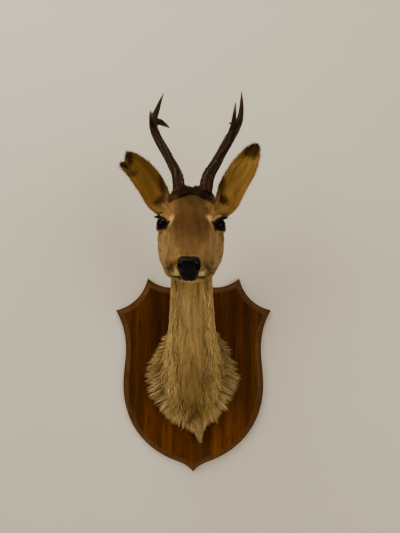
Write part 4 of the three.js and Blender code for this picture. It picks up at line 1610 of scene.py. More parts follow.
@dataclass
class Strands:
    """Many tapered hairs or tufts: where each is rooted and how it lies."""

    root: Array
    normal: Array
    flow: Array
    length: Array
    width: Array
    lift: Array
    bend: Array | None = None
    flat: float = 0.5  # thickness as a share of the width

    def shell(self, rings: int, extra: dict[str, Array] | None = None) -> Shell:
        """The strands as closed spikes.

        Args:
            rings: rings of three points in each, besides its tip.
            extra: values for each strand, to hold at all its points.

        Returns:
            The surface, with "along" at its points.
        """
        count = len(self.root)
        side = unit(np.cross(self.normal, self.flow))
        ahead = unit(np.cross(side, self.normal))
        bend = np.zeros(count) if self.bend is None else self.bend
        shares = np.append(np.linspace(0, 0.8, rings), 1.0)
        girths = np.append(np.interp(shares[:-1], [0, 0.3, 1], [0.7, 1, 0.25]), 0)
        points = []
        for share, girth in zip(shares, girths):
            rise = np.sin(self.lift) * self.length * (share - 0.62 * share**2) * 1.5
            centre = (
                self.root
                - self.normal * 0.5
                + ahead * (self.length * share * np.cos(self.lift))[:, None]
                + self.normal * rise[:, None]
                + side * (bend * self.length * share**2)[:, None]
            )
            if girth == 0:
                points.append(centre[:, None])
                continue
            half = (self.width * girth / 2)[:, None]
            crest = centre + self.normal * half * 2 * self.flat
            points.append(np.stack([centre + side * half, centre - side * half, crest], 1))
        every = np.concatenate(points, 1)
        each = 3 * rings + 1
        j, k = np.arange(3), (np.arange(3) + 1) % 3
        low = 3 * np.arange(rings - 1)[:, None]
        quads = np.stack([low + j, low + 3 + j, low + 3 + k, low + k], -1).reshape(-1, 4)
        last = 3 * (rings - 1)
        tips = np.stack([last + j, np.full(3, each - 1), last + k], 1)
        starts = (np.arange(count) * each)[:, None, None]
        faces = [
            (starts + quads).reshape(-1, 4),
            (starts + np.vstack([tips, [[0, 1, 2]]])).reshape(-1, 3),
        ]
        traits = {"along": np.tile(np.append(np.repeat(shares[:-1], 3), 1.0), count)}
        for name, value in (extra or {}).items():
            traits[name] = np.repeat(value, each, axis=0)
        return Shell(every.reshape(-1, 3), faces, traits)


@dataclass
class CoatPatch:
    """One named piece of the coat and what grows there."""

    name: str
    where: Array  # 0 to 1 at the hide's points
    density: float  # tufts for each square millimetre
    length: Array
    width: float
    lift: Array | float  # degrees
    rings: int = 2
    stray: float = 10.0  # degrees by which tufts turn out of the lie
    slot: str = "coat"
    flow: Array | None = None  # the lie, where it isn't the hide's own
    pale: float = 0.0  # how far the hair's ends are bleached


@dataclass
class Coat:
    """Grows tufts over the hide, each coloured by the place of its root."""

    hide: Hide
    soft: float = 0.6  # hair takes this share of its light as the skin under it does, so it looks soft
    map_patch: float = 0.003  # side of a tuft's patch of the bake map
    lengths: tuple = (0.72, 1.2)  # shortest and longest tuft, as shares of the patch's own
    widths: tuple = (0.7, 1.25)
    lifts: tuple = (0.6, 1.35)
    sway: float = 0.09  # sideways bend of a tuft, as a share of its length

    def __post_init__(self) -> None:
        """Reads the hide's faces."""
        hide = self.hide
        mesh = hide.piece.data
        corners = np.empty(len(mesh.loops), np.int32)
        mesh.loops.foreach_get("vertex_index", corners)
        quads = corners.reshape(-1, 4)
        self.triangles = np.concatenate([quads[:, (0, 1, 2)], quads[:, (0, 2, 3)]])
        a, b, c = (hide.points[self.triangles[:, k]] for k in range(3))
        self.areas = np.linalg.norm(np.cross(b - a, c - a), axis=1) / 2

    def grow(self, patch: CoatPatch, seed: int) -> bpy.types.Object:
        """Makes one piece of the coat.

        Args:
            patch: where and what grows.
            seed: fixes where the tufts stand.

        Returns:
            The piece.
        """
        rng = np.random.default_rng(seed)
        wanted = self.areas * patch.density * patch.where[self.triangles].mean(1)
        number = np.floor(wanted + rng.random(len(wanted))).astype(int)
        owner = np.repeat(np.arange(len(number)), number)
        uv = rng.random((len(owner), 2))
        uv = np.where(uv.sum(1, keepdims=True) > 1, 1 - uv, uv)
        shares = np.stack([1 - uv.sum(1), uv[:, 0], uv[:, 1]], 1)
        corners = self.triangles[owner]

        def between(values: Array) -> Array:
            """Values at the roots."""
            return (values[corners] * shares.reshape(*shares.shape, *[1] * (values.ndim - 1))).sum(1)

        hide = self.hide
        root, normal = between(hide.points), unit(between(hide.normals))
        flow = unit(between(hide.traits["flow"] if patch.flow is None else patch.flow))
        nearest = corners[np.arange(len(corners)), shares.argmax(1)]
        count = len(root)
        turn = np.radians(rng.normal(0, patch.stray, count))
        side = unit(np.cross(normal, flow))
        flow = flow * np.cos(turn)[:, None] + side * np.sin(turn)[:, None]
        lift = between(patch.lift) if np.ndim(patch.lift) else patch.lift
        strands = Strands(
            root, normal, flow,
            length=between(patch.length) * rng.uniform(*self.lengths, count),
            width=patch.width * rng.uniform(*self.widths, count),
            lift=np.radians(lift * rng.uniform(*self.lifts, count)),
            bend=rng.normal(0, self.sway, count),
        )
        return self.piece(patch, strands, nearest, rng)

    def piece(
        self, patch: CoatPatch, strands: Strands, nearest: Array, rng: np.random.Generator
    ) -> bpy.types.Object:
        """Turns strands into a dressed piece.

        Args:
            patch: the patch they belong to.
            strands: the strands.
            nearest: the hide's point nearest each root.
            rng: for each tuft's own tone.

        Returns:
            The piece.
        """
        traits = self.hide.traits
        count = len(strands.root)
        tone = rng.random(count)
        shell = strands.shell(patch.rings, {
            "root": strands.root * MM, "comb": traits["comb"][nearest] + rng.normal(0, 0.0004, (count, 3)),
            "sheet": traits["sheet"][nearest], "tone": tone,
            "stain": traits["stain"][nearest], "normal": strands.normal,
        })
        along, tone, sheet, normal = (shell.traits.pop(k) for k in ("along", "tone", "sheet", "normal"))
        shell.traits["strand"] = np.stack([along, tone, np.full(len(along), patch.pale)], 1)
        made = mesh_of(patch.name, shell)
        corner_points = np.concatenate([f.ravel() for f in shell.faces])
        each = 3 * patch.rings + 1
        place = np.arange(len(shell.points)) % each
        on_tuft = np.stack([along, (place % 3) / 3], 1) * self.map_patch
        layer = made.data.uv_layers.new(name="OFBake")
        layer.uv.foreach_set("vector", (sheet[:, :2] + on_tuft)[corner_points].astype(np.float32).ravel())
        blended = unit(normal * self.soft + normals_of(made) * (1 - self.soft))
        made.data.normals_split_custom_set_from_vertices(blended.astype(np.float32))
        RoeCoat().dress(made)
        LOG.info("%s: %d tufts, %d triangles", patch.name, count, count * (6 * patch.rings - 2))
        return made


@dataclass
class CoatPlan:
    """Where the coat is long, short, thick and thin."""

    hide: Hide
    ruff_height: float = 360.643  # where the ruff's front edge would meet the wall, mm
    ruff_slope: float = 0.309  # how fast that edge falls towards the nose
    neck_length: Profile = field(default_factory=lambda: Profile(
        (0, 24), (0.15, 24), (0.4, 20), (0.7, 16), (1, 11)))
    face_length: Profile = field(default_factory=lambda: Profile(
        (0, 1.6), (25, 2.4), (70, 3.6), (120, 5), (160, 7), (200, 11)))

    def bare(self) -> Array:
        """1 where hair grows, 0 on the lids' edges, the nose and the lips.

        Returns:
            A share for each point of the hide.
        """
        hide = self.hide
        free = np.ones(len(hide.points))
        for eye in hide.eyes:
            local = eye.local(hide.points)
            near = np.linalg.norm(local, axis=1) < eye.radius * 2
            free[near] = np.minimum(free[near], smooth_step(eye.opening(local[near]), 1.06, 1.16))
        x, back, up = hide.places.T
        nose = np.sqrt((x / 17) ** 2 + ((up + 7) / 16) ** 2)
        free = np.where(back < 7, np.minimum(free, smooth_step(nose, 0.85, 1.05)), free)
        return free * (hide.points[:, 1] < -20.8)

    def patches(self) -> list[CoatPatch]:
        """Every patch of the coat but the fringe.

        Returns:
            The patches, in the order they grow.
        """
        hide = self.hide
        x, back, up = hide.places.T
        traits = hide.traits
        part, reach, ear = traits["part"], traits["reach"], traits["ear"]
        bare = self.bare()
        off_ear = 1 - smooth_step(ear, 0.3, 0.7)
        on_head = off_ear * (1 - smooth_step(back - 0.25 * up, 176, 196))
        on_neck = off_ear * (1 - on_head) * bare
        left = (hide.points[:, 0] > NeckForm.middle).astype(float)
        front = (np.abs(hide.points[:, 0] + 1.5) < 30) & (hide.normals[:, 1] < 0.1)
        t = np.where(part == Part.NECK.value, reach, 1.0)
        neck_length = self.neck_length(t)
        neck_lift = 15 + 24 * (1 - smooth_step(t, 0.16, 0.34))
        face_length = self.face_length(back)
        # The ruff of dark fur that stands up round the antlers.
        y, z = hide.points[:, 1:].T
        above = z - self.ruff_height - self.ruff_slope * y
        ruff = smooth_step(above, -2, 3) * (1 - smooth_step(np.abs(x), 36, 46))
        ruff *= 1 - smooth_step(back, 180, 190)
        from_pedicle = np.hypot(np.abs(x) - 18, back - 160)
        collar = bump(np.maximum(from_pedicle - 13, 0), 2.5) * smooth_step(up, 10, 22)
        ruff = np.maximum(ruff, collar)
        pedicle = np.stack([np.sign(x) * 20, np.full(len(x), 158.0), np.full(len(x), 30.0)], 1)
        from_antler = unit(hide.places - pedicle) @ HEAD.axes()
        upright = unit(traits["flow"] * 0.3 + np.array((0, -0.2, 1.0)) + from_antler * 0.5)
        face = on_head * bare
        muzzle = 1 - smooth_step(back, 40, 62)
        ears = smooth_step(ear, 0.3, 0.7)
        inside = traits["inside"]
        # Long hairs inside an ear grow at its root and along its rims; elsewhere it is nearly bare.
        rims = np.maximum(
            smooth_step(np.abs(traits["spread"]), 0.55, 0.85), 1 - smooth_step(reach, 0.1, 0.35))
        made = [
            CoatPatch(
                "coat_crown", face * smooth_step(ruff, 0.2, 0.7), density=1.7,
                length=5.2 + 2.4 * ruff + 4.6 * collar, width=1.0, lift=56, rings=3, stray=30, slot="face",
                flow=upright),
            CoatPatch(
                "coat_muzzle", face * muzzle, density=3.4, length=face_length, width=0.55, lift=10,
                rings=1, stray=7, slot="face"),
        ]
        for word, share in (("left", left), ("right", 1 - left)):
            made += [
                CoatPatch(
                    f"coat_face_{word}", face * (1 - muzzle) * (1 - 0.7 * ruff) * share, density=1.77,
                    length=face_length, width=0.8, lift=13, rings=1, stray=8, slot="face"),
                CoatPatch(
                    f"coat_neck_front_{word}", on_neck * front * share, density=0.46,
                    length=neck_length, width=1.9, lift=neck_lift, rings=3, stray=11),
                CoatPatch(
                    f"coat_neck_side_{word}", on_neck * ~front * share, density=0.3,
                    length=neck_length, width=2.1, lift=neck_lift, rings=3, stray=10),
                CoatPatch(
                    f"coat_ear_back_{word}", ears * (1 - inside) * share, density=1.1,
                    length=np.full(len(x), 5.0), width=0.9, lift=11, rings=2, stray=12, slot="ear"),
                CoatPatch(
                    f"coat_ear_inside_{word}", ears * inside * share * (0.3 + 0.7 * rims), density=1.5,
                    length=3.6 + 4.4 * rims, width=0.6, lift=12, rings=2, stray=15, slot="ear"),
            ]
        return made


@dataclass
class Fringe:
    """The skirt of long hair that spreads over the board, and the pale tuft at its foot."""

    hide: Hide
    neck: NeckForm
    tuft: tuple = (14.5, -27, -128)
    tuft_hairs: int = 760
    count: int = 8400
    locks: int = 240  # hairs cling together in this many pointed locks
    wide: float = 1.6

    def build(self, coat: Coat) -> bpy.types.Object:
        """Grows the fringe from the foot of the neck out to its ragged outline.

        Args:
            coat: the coat it belongs to.

        Returns:
            The piece.
        """
        rng = np.random.default_rng(5)
        hanging = np.arange(self.count) < self.tuft_hairs
        angle = rng.random(self.count) * 2 * np.pi
        angle[hanging] = -np.pi / 2 + 0.16 + rng.normal(0, 0.24, self.tuft_hairs)
        foot = rng.random(self.count) ** 1.2 * 0.2
        root = self.neck.ring(foot, angle, 1.0)
        normal = unit(root - self.neck.ring(foot, angle, 1.06))
        # Tips lie on the coat's own outline over the board, drawn together lock by lock.
        lock = np.floor(angle / (2 * np.pi) * self.locks).astype(int)
        middle = (lock + rng.random(self.locks)[lock]) / self.locks * 2 * np.pi
        spread = rng.normal(0, 0.018, self.count)
        edge = self.neck.ring(np.full(self.count, 0.05), middle + 0.2 * (angle - middle) + spread, 0.0)
        edge[:, 1] = -21.5 - rng.random(self.count) * 14 * (0.3 + foot / 0.17)
        edge[hanging] = np.array(self.tuft) + rng.normal(0, 1.6, (self.tuft_hairs, 3))
        below = bump(np.angle(np.exp(1j * (angle + np.pi / 2 + 0.15))), 0.42)
        short = rng.uniform(0.8, 1.12, self.locks)[lock] * rng.uniform(0.6, 1.02, self.count)
        short *= 1 - 0.24 * below
        short = np.where(hanging, rng.uniform(0.55, 1.0, self.count), short)
        tip = root + (edge - root) * short[:, None]
        tip[:, 2] -= 5 * rng.random(self.count) * ~hanging
        length = np.linalg.norm(tip - root, axis=1)
        flow = unit(tip - root)
        side = unit(np.cross(normal, flow))
        strands = Strands(
            root, unit(np.cross(flow, side)), flow, length=length,
            width=self.wide * rng.uniform(0.6, 1.3, self.count),
            lift=np.zeros(self.count), bend=rng.normal(0, 0.05, self.count))
        patch = CoatPatch(
            "coat_fringe", np.ones(1), density=0, length=np.ones(1), width=self.wide, lift=0, rings=4,
            pale=0.42)
        return coat.piece(patch, strands, nearest_of(self.hide.points, root), rng)


@dataclass
class Whiskers:
    """Long thin feelers round the lips, on the chin and over the eyes."""

    hide: Hide
    # Middle of each group, how far it spreads, how many hairs and how long they are, in mm.
    groups: tuple = (
        ((21, 14, -14), 11, 30, 15), ((14, 8, -31), 9, 12, 11), ((42, 96, -34), 20, 20, 12),
        ((36, 132, 20), 7, 12, 14))
    thick: float = 0.3

    def build(self) -> bpy.types.Object:
        """Roots the feelers and bends them back.

        Returns:
            The piece.
        """
        rng = np.random.default_rng(77)
        places = self.hide.places.copy()
        places[:, 0] = np.abs(places[:, 0])
        roots, lengths = [], []
        for middle, spread, count, length in self.groups:
            away = np.linalg.norm(places - np.array(middle), axis=1)
            roots.append(rng.choice(np.flatnonzero(away < spread), count, replace=False))
            lengths.append(length * rng.uniform(0.6, 1.25, count))
        root, length = np.concatenate(roots), np.concatenate(lengths)
        count = len(root)
        normal = self.hide.normals[root]
        flow = unit(self.hide.traits["flow"][root] + rng.normal(0, 0.35, (count, 3)))
        hairs = Strands(
            self.hide.points[root], normal, flow, length=length, width=np.full(count, self.thick),
            lift=np.radians(rng.uniform(35, 70, count)), bend=rng.normal(0, 0.12, count))
        piece = mesh_of("whiskers", hairs.shell(rings=5))
        LidSkin().dress(piece)
        return piece


# Nose, antlers, board -------------------------------------------------------------------------


@dataclass
class NosePad:
    """The bare nose: broad and square at the top, narrow at the lip, with comma-shaped nostrils."""

    back: float = 3.5
    up: float = -8
    half_width: float = 15.4
    half_height: float = 15
    half_depth: float = 8.5
    foot_width: float = 0.74
    top_square: float = 0.3
    foot_square: float = 0.36
    nostril: tuple = (9.8, -2.0)

    def build(self) -> bpy.types.Object:
        """The pad's fine surface.

        Returns:
            The piece.
        """
        lean, angle = np.meshgrid(
            np.linspace(-np.pi / 2, np.pi / 2, 90), np.arange(120) / 120 * 2 * np.pi, indexing="ij")
        up = self.up + self.half_height * np.sin(lean)
        girth = np.maximum(
            np.cos(lean).clip(0) ** np.where(lean > 0, self.top_square, self.foot_square), 0.04)
        low = smooth_step(self.up - up, -14, self.half_height)
        width = self.half_width * girth * (1 + (self.foot_width - 1) * low)
        x = width * signed_power(np.cos(angle), 0.85)
        ahead = self.half_depth * girth * signed_power(np.sin(angle), 0.8)
        front = smooth_step(ahead, 0, 3)
        # Each nostril curls from a round hole out and down into a slit.
        hole = np.hypot((np.abs(x) - self.nostril[0]) / 3.1, (up - self.nostril[1]) / 2.6)
        slit = np.hypot((np.abs(x) - self.nostril[0] - 3.4) / 3.4, (up - self.nostril[1] + 2.6) / 1.1)
        sink = 6.0 * bump(hole, 0.95) + 3.0 * bump(slit, 1.0)
        wing = 0.9 * bump(hole - 1.75, 0.5)
        groove = 1.1 * bump(x, 0.9) * smooth_step(-4 - up, 0, 5)
        ahead = ahead + front * (wing - sink - groove)
        rings = HEAD.to_model(np.stack([x, self.back - ahead, up], -1))[:, ::-1]
        pad = mesh_of("nose_leather_pad", tube(rings))
        NoseLeather().dress(pad)
        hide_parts("nose_pad")
        return pad


@dataclass
class Antler:
    """One antler: a beam that runs on into its top point, two more tines, burr, pearls, gutters."""

    side: Side
    limbs: dict
    burr_at: float = 0.062
    burr_radius: float = 10.4
    voxel: float = 0.62
    pearls: int = 230
    gutters: int = 7

    def limb(self, name: str) -> tuple[Line, Profile]:
        """The line of a limb and its diameter along it."""
        return Line(self.limbs[name][0]), Profile(*self.limbs[name][1])

    def limb_shell(self, name: str) -> Shell:
        """A limb as a plain tapered tube.

        Args:
            name: the limb: the beam or one of the tines.

        Returns:
            The surface.
        """
        line, girth = self.limb(name)
        share, angle = np.meshgrid(np.linspace(0, 1, 120), np.arange(28) / 28 * 2 * np.pi, indexing="ij")
        along = line.along(share[:, 0])
        across = unit(np.cross(along, (1.0, 0.0, 0.0)))
        outward = np.cross(across, along)
        radius = (girth(share) / 2)[..., None]
        if name == "beam":
            # The burr: a collar of knobs where the antler meets its pedicle.
            knobs = 1 + 0.08 * np.cos(angle * 9 + 1) + 0.05 * np.cos(angle * 14)
            collar = bump((share - self.burr_at) * line.length, 2.6)
            radius = np.maximum(radius, (self.burr_radius * knobs * collar)[..., None])
        forward = outward[:, None] * np.cos(angle)[..., None]
        sideways = across[:, None] * np.sin(angle)[..., None]
        return tube(line.at(share[:, 0])[:, None] + radius * (forward + sideways))

    def build(self) -> bpy.types.Object:
        """Melts the limbs together and raises the relief on them.

        Returns:
            The piece.
        """
        shells = [self.limb_shell(name) for name in self.limbs]
        word = self.side.word
        piece = melted(mesh_of(f"antler_bone_{word}", shells[0].joined(*shells[1:])), self.voxel)
        links = Neighbours(piece.data)
        points = links.spread(points_of(piece), 3)
        move_points(piece, points)
        normals = normals_of(piece)
        rng = np.random.default_rng(70 + self.side.value)
        best = np.full(len(points), np.inf)
        share = np.zeros(len(points))
        tip = np.zeros(len(points))
        for name in self.limbs:
            line, girth = self.limb(name)
            at, away = line.nearest(points)
            away = away / (girth(at) / 2)
            nearer = away < best
            best = np.where(nearer, away, best)
            share = np.where(nearer, at if name == "beam" else 0.8, share)
            tip = np.where(nearer, smooth_step((1 - at) * line.length, 20, 4), tip)
        line, _ = self.limb("beam")
        at, _ = line.nearest(points)
        out = points - line.at(at)
        angle = np.arctan2(out[:, 0], -out[:, 1])
        # Gutters wander up the beam; they are deep low down and fade towards the points.
        wander = angle * self.gutters + 2.2 * np.sin(at * 11) + 1.1 * np.sin(at * 23 + angle)
        fade = smooth_step(1 - share, 0.08, 0.5)
        relief = 0.5 * np.cos(wander) * fade
        # Pearls crowd the lower beam, most on its inner and rear sides.
        inner = unit(out) @ unit(np.array([-self.side.value, 0.8, 0.0]))
        weight = np.exp(-share * 4.2) * (0.25 + smooth_step(inner, -0.4, 0.7))
        weight *= share > self.burr_at * 0.9
        seeds = rng.choice(len(points), self.pearls, False, weight / weight.sum())
        sizes = rng.uniform(0.9, 1.7, self.pearls)
        for seed, size in zip(seeds, sizes):
            away = np.linalg.norm(points - points[seed], axis=1)
            relief += 0.33 * size * bump(away, size)
        points = points + normals * relief[:, None]
        move_points(piece, points)
        keep(piece, {"relief": np.clip(0.45 + relief * 0.42, 0, 1), "tip": tip})
        AntlerBone().dress(piece)
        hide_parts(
            *(f"antler_{word}_{limb}" for limb in ("beam", "top", "front_tine", "rear_tine")))
        return piece


@dataclass
class Shield:
    """The oak board: a horned shield with a routed edge, and the rebate for its hanger."""

    height: float = 184.5
    horn: tuple = (92, 184.5)
    top_dip: float = 36
    corner: tuple = (154.5, 120.5)
    waist: tuple = (133, 40)
    belly: tuple = (136.5, -18)
    toe: tuple = (31, -165)
    # The routed edge: how far in and how far forward each line of it lies, back to front.
    moulding: tuple = (
        (1.4, 0), (0.4, 0.4), (0, 1.4), (0, 5), (0, 8.6), (0.35, 9.8), (1.1, 10.5), (2.2, 10.8),
        (3.5, 10.9), (3.7, 11.2), (3.8, 12), (4.2, 13.4), (5.0, 14.9), (6.2, 16.2), (7.6, 17.1),
        (9.2, 17.6), (10.3, 17.7), (10.5, 18), (10.6, 19.2), (10.9, 19.7), (11.5, 20), (13, 20),
    )
    # How much lighter each of those lines is drawn: stain rubbed off, and a painted highlight on the
    # moulding's ridges.
    worn: tuple = (
        0, 0.2, 0.5, 0.1, 0.2, 0.6, 0.5, 0.3, 0.2, 0.1, 0,
        0.1, 0.2, 0.3, 0.35, 0.3, 0.1, 0, 0.25, 0.6, 0.4, 0,
    )
    rebate: tuple = (56, 18, 3.8, 124)  # length, height, depth and height above the middle

    def stretches(self) -> list[Array]:
        """The smooth stretches of the outline between corners, clockwise from the top peak.

        Returns:
            Lines of (x, z) points, each starting where the last one ends.
        """
        peak, foot = (0, self.height), (0, -self.height)
        notch = ((self.horn[0] + self.corner[0]) / 2 - 19.3, (self.horn[1] + self.corner[1]) / 2 - 18.8)
        shoulder = (self.waist[0] + 8, self.corner[1] - 21)
        above_waist = (self.waist[0], self.waist[1] + 32)
        below_waist = (self.waist[0], self.waist[1] - 18)
        above_belly = (self.belly[0], self.belly[1] + 23)
        below_belly = (self.belly[0], self.belly[1] - 70)
        beside_toe = (self.toe[0] + 68, self.toe[1] + 24)
        right = (
            ((40, (peak, (self.horn[0] / 2, self.horn[1] - self.top_dip), self.horn)),),
            ((36, (self.horn, notch, self.corner)),),
            (
                (40, (self.corner, shoulder, above_waist, self.waist)),
                (24, (self.waist, below_waist, above_belly, self.belly)),
                (80, (self.belly, below_belly, beside_toe, self.toe)),
            ),
            ((16, (self.toe, (8, self.toe[1] - 7.5), foot)),),
        )
        lines = []
        for curves in right:
            drawn = [self.bezier(control, steps) for steps, control in curves]
            lines.append(np.vstack([*(d[:-1] for d in drawn[:-1]), drawn[-1]]))
        return lines + [line[::-1] * (-1, 1) for line in lines[::-1]]

    @staticmethod
    def bezier(control: tuple, steps: int) -> Array:
        """Points on a Bezier curve with these control points.

        Args:
            control: the control points.
            steps: how many steps the curve is cut in.

        Returns:
            One point more than the steps.
        """
        u = np.linspace(0, 1, steps + 1)[:, None]
        places = [np.broadcast_to(np.array(p, float), (steps + 1, 2)) for p in control]
        while len(places) > 1:
            places = [a + (b - a) * u for a, b in zip(places, places[1:])]
        return places[0]

    def inset(self, lines: list[Array], distance: float) -> Array:
        """The outline moved in, with every corner mitred where its two stretches now meet.

        Args:
            lines: the stretches of the outline.
            distance: how far in, in mm.

        Returns:
            The whole outline, with as many points as at first.
        """
        moved = []
        for line in lines:
            along = unit(np.gradient(line, axis=0))
            inner = line + np.stack([along[:, 1], -along[:, 0]], 1) * distance
            reach = along[[0, -1]] * (2 * distance + 1)
            moved.append(np.vstack([inner[:1] - reach[:1], inner, inner[-1:] + reach[1:]]))
        cuts = [self.crossing(a, b) for a, b in zip(moved, moved[1:] + moved[:1])]
        rings = []
        for i, (line, new) in enumerate(zip(lines, moved)):
            start, end = cuts[i - 1][1], cuts[i][0]
            places = np.linspace(start, end, len(line))[:-1]
            index = np.arange(len(new))
            rings.append(np.stack([np.interp(places, index, new[:, k]) for k in (0, 1)], 1))
        return np.vstack(rings)

    @staticmethod
    def crossing(first: Array, second: Array) -> tuple[float, float]:
        """Where one line of points crosses the next, counted in points along each.

        Args:
            first: one line of points.
            second: the line it crosses.

        Returns:
            The place on the first line and the place on the second.
        """
        a, ab = first[:-1, None], np.diff(first, axis=0)[:, None]
        c, cd = second[None, :-1], np.diff(second, axis=0)[None]
        span = ab[..., 0] * cd[..., 1] - ab[..., 1] * cd[..., 0]
        span = np.where(np.abs(span) < 1e-12, 1e-12, span)
        ac = c - a
        s = (ac[..., 0] * cd[..., 1] - ac[..., 1] * cd[..., 0]) / span
        t = (ac[..., 0] * ab[..., 1] - ac[..., 1] * ab[..., 0]) / span
        i, j = np.argwhere((s > -1e-6) & (s < 1 + 1e-6) & (t > -1e-6) & (t < 1 + 1e-6))[0]
        return i + s[i, j], j + t[i, j]

    def build(self) -> bpy.types.Object:
        """The board, with its rebate cut in the back.

        Returns:
            The piece.
        """
        lines = self.stretches()
        rings, worn = [], []
        for (inset, forward), share in zip(self.moulding, self.worn):
            flat = self.inset(lines, inset)
            rings.append(np.stack([flat[:, 0], np.full(len(flat), -float(forward)), flat[:, 1]], 1)[::-1])
            worn.append(np.full(len(flat), share))
        board = mesh_of("shield_oak", tube(np.stack(rings), {"worn": np.stack(worn)}))
        length, high, deep, z = self.rebate
        bpy.ops.mesh.primitive_cube_add(size=1, location=(0, 0, z * MM))
        cutter = bpy.context.active_object
        cutter.scale = (length * MM, 2 * deep * MM, high * MM)
        cut = board.modifiers.new("rebate", "BOOLEAN")
        cut.object, cut.operation, cut.solver = cutter, "DIFFERENCE", "EXACT"
        bpy.context.view_layer.update()
        applied(board)
        bpy.data.objects.remove(cutter)
        board.data.set_sharp_from_angle(angle=math.radians(32))
        StainedOak().dress(board)
        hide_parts("shield_board")
        return board


# The studio -----------------------------------------------------------------------------------


@dataclass
class Studio:
    """Wall, floor, soft lights and camera."""

    camera_at: tuple = (0.013, -0.810, 0.1115)
    tilt_deg: float = 6.9
    lens: float = 27.02
    cover: float = 2.4  # how far the board overlaps the wall round its opening, mm

    def sheet(self, name: str, corners: list, opening: Array | None = None) -> bpy.types.Object:
        """A flat sheet of wall or floor.

        Args:
            name: its name.
            corners: four corners, in mm.
            opening: the outline of a hole in it, in mm.

        Returns:
            The sheet.
        """
        outlines = [corners] if opening is None else [corners, opening.tolist()]
        triangles = tessellate_polygon([[Vector(corner) for corner in outline] for outline in outlines])
        points = np.vstack([np.array(outline, float) for outline in outlines])
        faces = np.array(triangles)
        sides = points[faces]
        facing = np.cross(sides[:, 1] - sides[:, 0], sides[:, 2] - sides[:, 0])
        inwards = np.array((0, -5000.0, 3000.0)) - sides[:, 0]
        away = (facing * inwards).sum(1) < 0
        faces[away] = faces[away][:, ::-1]
        piece = mesh_of(name, Shell(points, [faces]))
        PaintedPlaster().dress(piece)
        return piece

    def light(self, name: str, at: tuple, towards: tuple, size: float, power: float, colour: str) -> None:
        """Adds a soft square light.

        Args:
            name: its name.
            at: where, in metres.
            towards: what it points at.
            size: the side of the square.
            power: in watts.
            colour: as sRGB hex.
        """
        lamp = bpy.data.lights.new(name, "AREA")
        lamp.size, lamp.energy, lamp.color = size, power, linear(colour)[:3]
        holder = bpy.data.objects.new(name, lamp)
        holder.location = at
        holder.rotation_euler = (Vector(towards) - Vector(at)).to_track_quat("-Z", "Y").to_euler()
        bpy.context.scene.collection.objects.link(holder)

    def build(self, board: Shield) -> None:
        """Sets up everything round the mount.

        Args:
            board: the board that hangs on the wall.
        """
        # The wall is open behind the board, inside its outline, so that light reaches the board's back.
        hole = board.inset(board.stretches(), self.cover)
        hole = np.stack([hole[:, 0], np.full(len(hole), 0.6), hole[:, 1]], 1)
        self.sheet(
            "wall", [(-2600, 0.6, -1250), (2600, 0.6, -1250), (2600, 0.6, 2200), (-2600, 0.6, 2200)], hole)
        self.sheet(
            "floor",
            [(-2600, -3600, -1250), (2600, -3600, -1250), (2600, 2600, -1250), (-2600, 2600, -1250)])
        self.light("ceiling_light", (-0.55, -1.3, 1.8), (0, -0.1, 0.1), 1.5, 41, "#fff1dc")
        self.light("window_light", (-1.7, -1.7, 0.6), (0, -0.15, 0.1), 1.3, 23, "#fff6ea")
        self.light("fill_light", (1.4, -1.9, 0.1), (0, -0.1, 0.1), 1.4, 26, "#fff3e4")
        self.light("back_light", (0.5, 1.8, 0.9), (0, 0, 0), 1.6, 30, "#fff3e4")
        world = bpy.data.worlds.new("studio")
        world.use_nodes = True
        world.node_tree.nodes["Background"].inputs[0].default_value = linear("#dcd6c8")
        world.node_tree.nodes["Background"].inputs[1].default_value = 0.16
        bpy.context.scene.world = world
        lens = bpy.data.cameras.new("camera")
        lens.lens = self.lens
        camera = bpy.data.objects.new("camera", lens)
        camera.location = self.camera_at
        camera.rotation_euler = (math.radians(90 + self.tilt_deg), 0, 0)
        bpy.context.scene.collection.objects.link(camera)
        bpy.context.scene.camera = camera


# Sizes of this buck ---------------------------------------------------------------------------

EARS = (
    EarForm(
        Side.LEFT,
        [
            (40, -196, 266), (50, -190, 287), (58, -186, 307), (71, -185, 330), (86, -186, 354),
            (105, -190, 386)],
    ),
    EarForm(
        Side.RIGHT,
        [
            (-37, -196, 268), (-46, -190, 288), (-57, -186, 309), (-73, -185, 331), (-90, -187, 348),
            (-110, -190, 362),
        ],
        # Its tip is torn off, so it ends broad, with notches between the shreds.
        half_width=Profile(
            (0, 12.5), (0.07, 17.5), (0.2, 21.5), (0.42, 22.8), (0.62, 22.4), (0.8, 20), (0.93, 16.5),
            (1, 11)),
        tears=(
            ((-114, -191, 358), 5.5, 8.5, (0.84, 0.0, -0.4)),
            ((-109, -191, 369), 2.2, 5.0, (0.84, 0.0, -0.4)),
            ((-114, -191, 350), 1.8, 4.0, (0.84, 0.0, 0.2)),
        ),
    ),
)
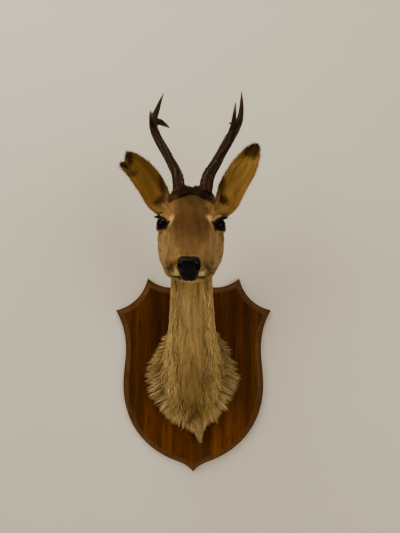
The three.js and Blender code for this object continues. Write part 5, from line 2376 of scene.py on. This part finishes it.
# For each limb the points it runs through and its (share, diameter) pairs, in mm.
ANTLERS = {
    Side.LEFT: {
        "beam": (
            [
                (20, -233, 290), (22, -229, 302), (26, -226, 320), (37, -222, 341), (48, -217, 363),
                (59, -212, 385), (69, -209, 404), (75.5, -206, 418), (79, -203, 436), (80.4, -199, 456),
                (80.8, -196, 473.6),
            ],
            [
                (0, 19.5), (0.06, 20), (0.15, 18.2), (0.27, 16), (0.38, 15.2), (0.51, 15), (0.63, 14),
                (0.71, 11.5), (0.8, 8.4), (0.91, 5.2), (1, 1.6),
            ],
        ),
        "front_tine": (
            [(61, -210, 394), (64.5, -218, 405), (66, -227, 417), (67, -237, 432)],
            [(0, 10), (0.35, 8), (0.75, 4.8), (1, 1.4)],
        ),
        "rear_tine": (
            [(71, -207, 408), (66, -203, 414), (59.5, -197, 419)],
            [(0, 8), (0.6, 5.4), (1, 1.8)],
        ),
    },
    Side.RIGHT: {
        "beam": (
            [
                (-17.5, -233, 290), (-18.8, -229, 302), (-21.5, -226, 320), (-29.5, -222, 340),
                (-40.5, -217, 362), (-52, -212, 384), (-60, -209, 404), (-61, -206, 420),
                (-56.5, -203, 436), (-51, -199, 456), (-46.4, -196, 470.4),
            ],
            [
                (0, 17.5), (0.06, 18), (0.15, 16.4), (0.27, 14.2), (0.38, 13.6), (0.51, 13.2), (0.63, 13),
                (0.71, 12.4), (0.8, 9.4), (0.91, 5.2), (1, 1.6),
            ],
        ),
        "front_tine": (
            [(-59.5, -208, 400), (-62, -217, 408), (-62.5, -229, 413.5), (-61.3, -242, 416.6)],
            [(0, 9.5), (0.35, 7.6), (0.75, 4.6), (1, 1.4)],
        ),
        "rear_tine": (
            [(-58.5, -205, 416), (-53, -200, 419.5), (-46, -189, 421), (-37.4, -178, 420)],
            [(0, 11.6), (0.4, 9.4), (0.8, 4.8), (1, 1.4)],
        ),
    },
}


def main() -> None:
    """Builds the mount piece by piece and reports each."""
    logging.basicConfig(level=logging.INFO, format="%(message)s")
    made = []

    def report(*pieces: bpy.types.Object) -> None:
        """Fixes pieces to the mount and says how large each is.

        Args:
            pieces: the pieces, already named.
        """
        for piece in pieces:
            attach(piece, BODY)
            made.append(piece)
            LOG.info("%s: %d points", piece.name, len(piece.data.vertices))

    board = Shield()
    Studio().build(board)
    report(board.build())
    for name in ("hanger", "hanger_nail_left", "hanger_nail_right"):
        BrassPlate().dress(frame["nodes"][name])
    eyes = [EyeForm(side) for side in Side]
    neck = NeckForm()
    hide = Hide(neck, HeadForm(), list(EARS), eyes)
    report(hide.build())
    for eye in eyes:
        report(*eye.build())
    report(NosePad().build())
    for side in Side:
        report(Antler(side, ANTLERS[side]).build())
    coat = Coat(hide)
    for seed, patch in enumerate(CoatPlan(hide).patches()):
        report(coat.grow(patch, 100 + seed))
    report(Fringe(hide, neck).build(coat))
    report(Whiskers(hide).build())


if __name__ == "__main__":
    main()
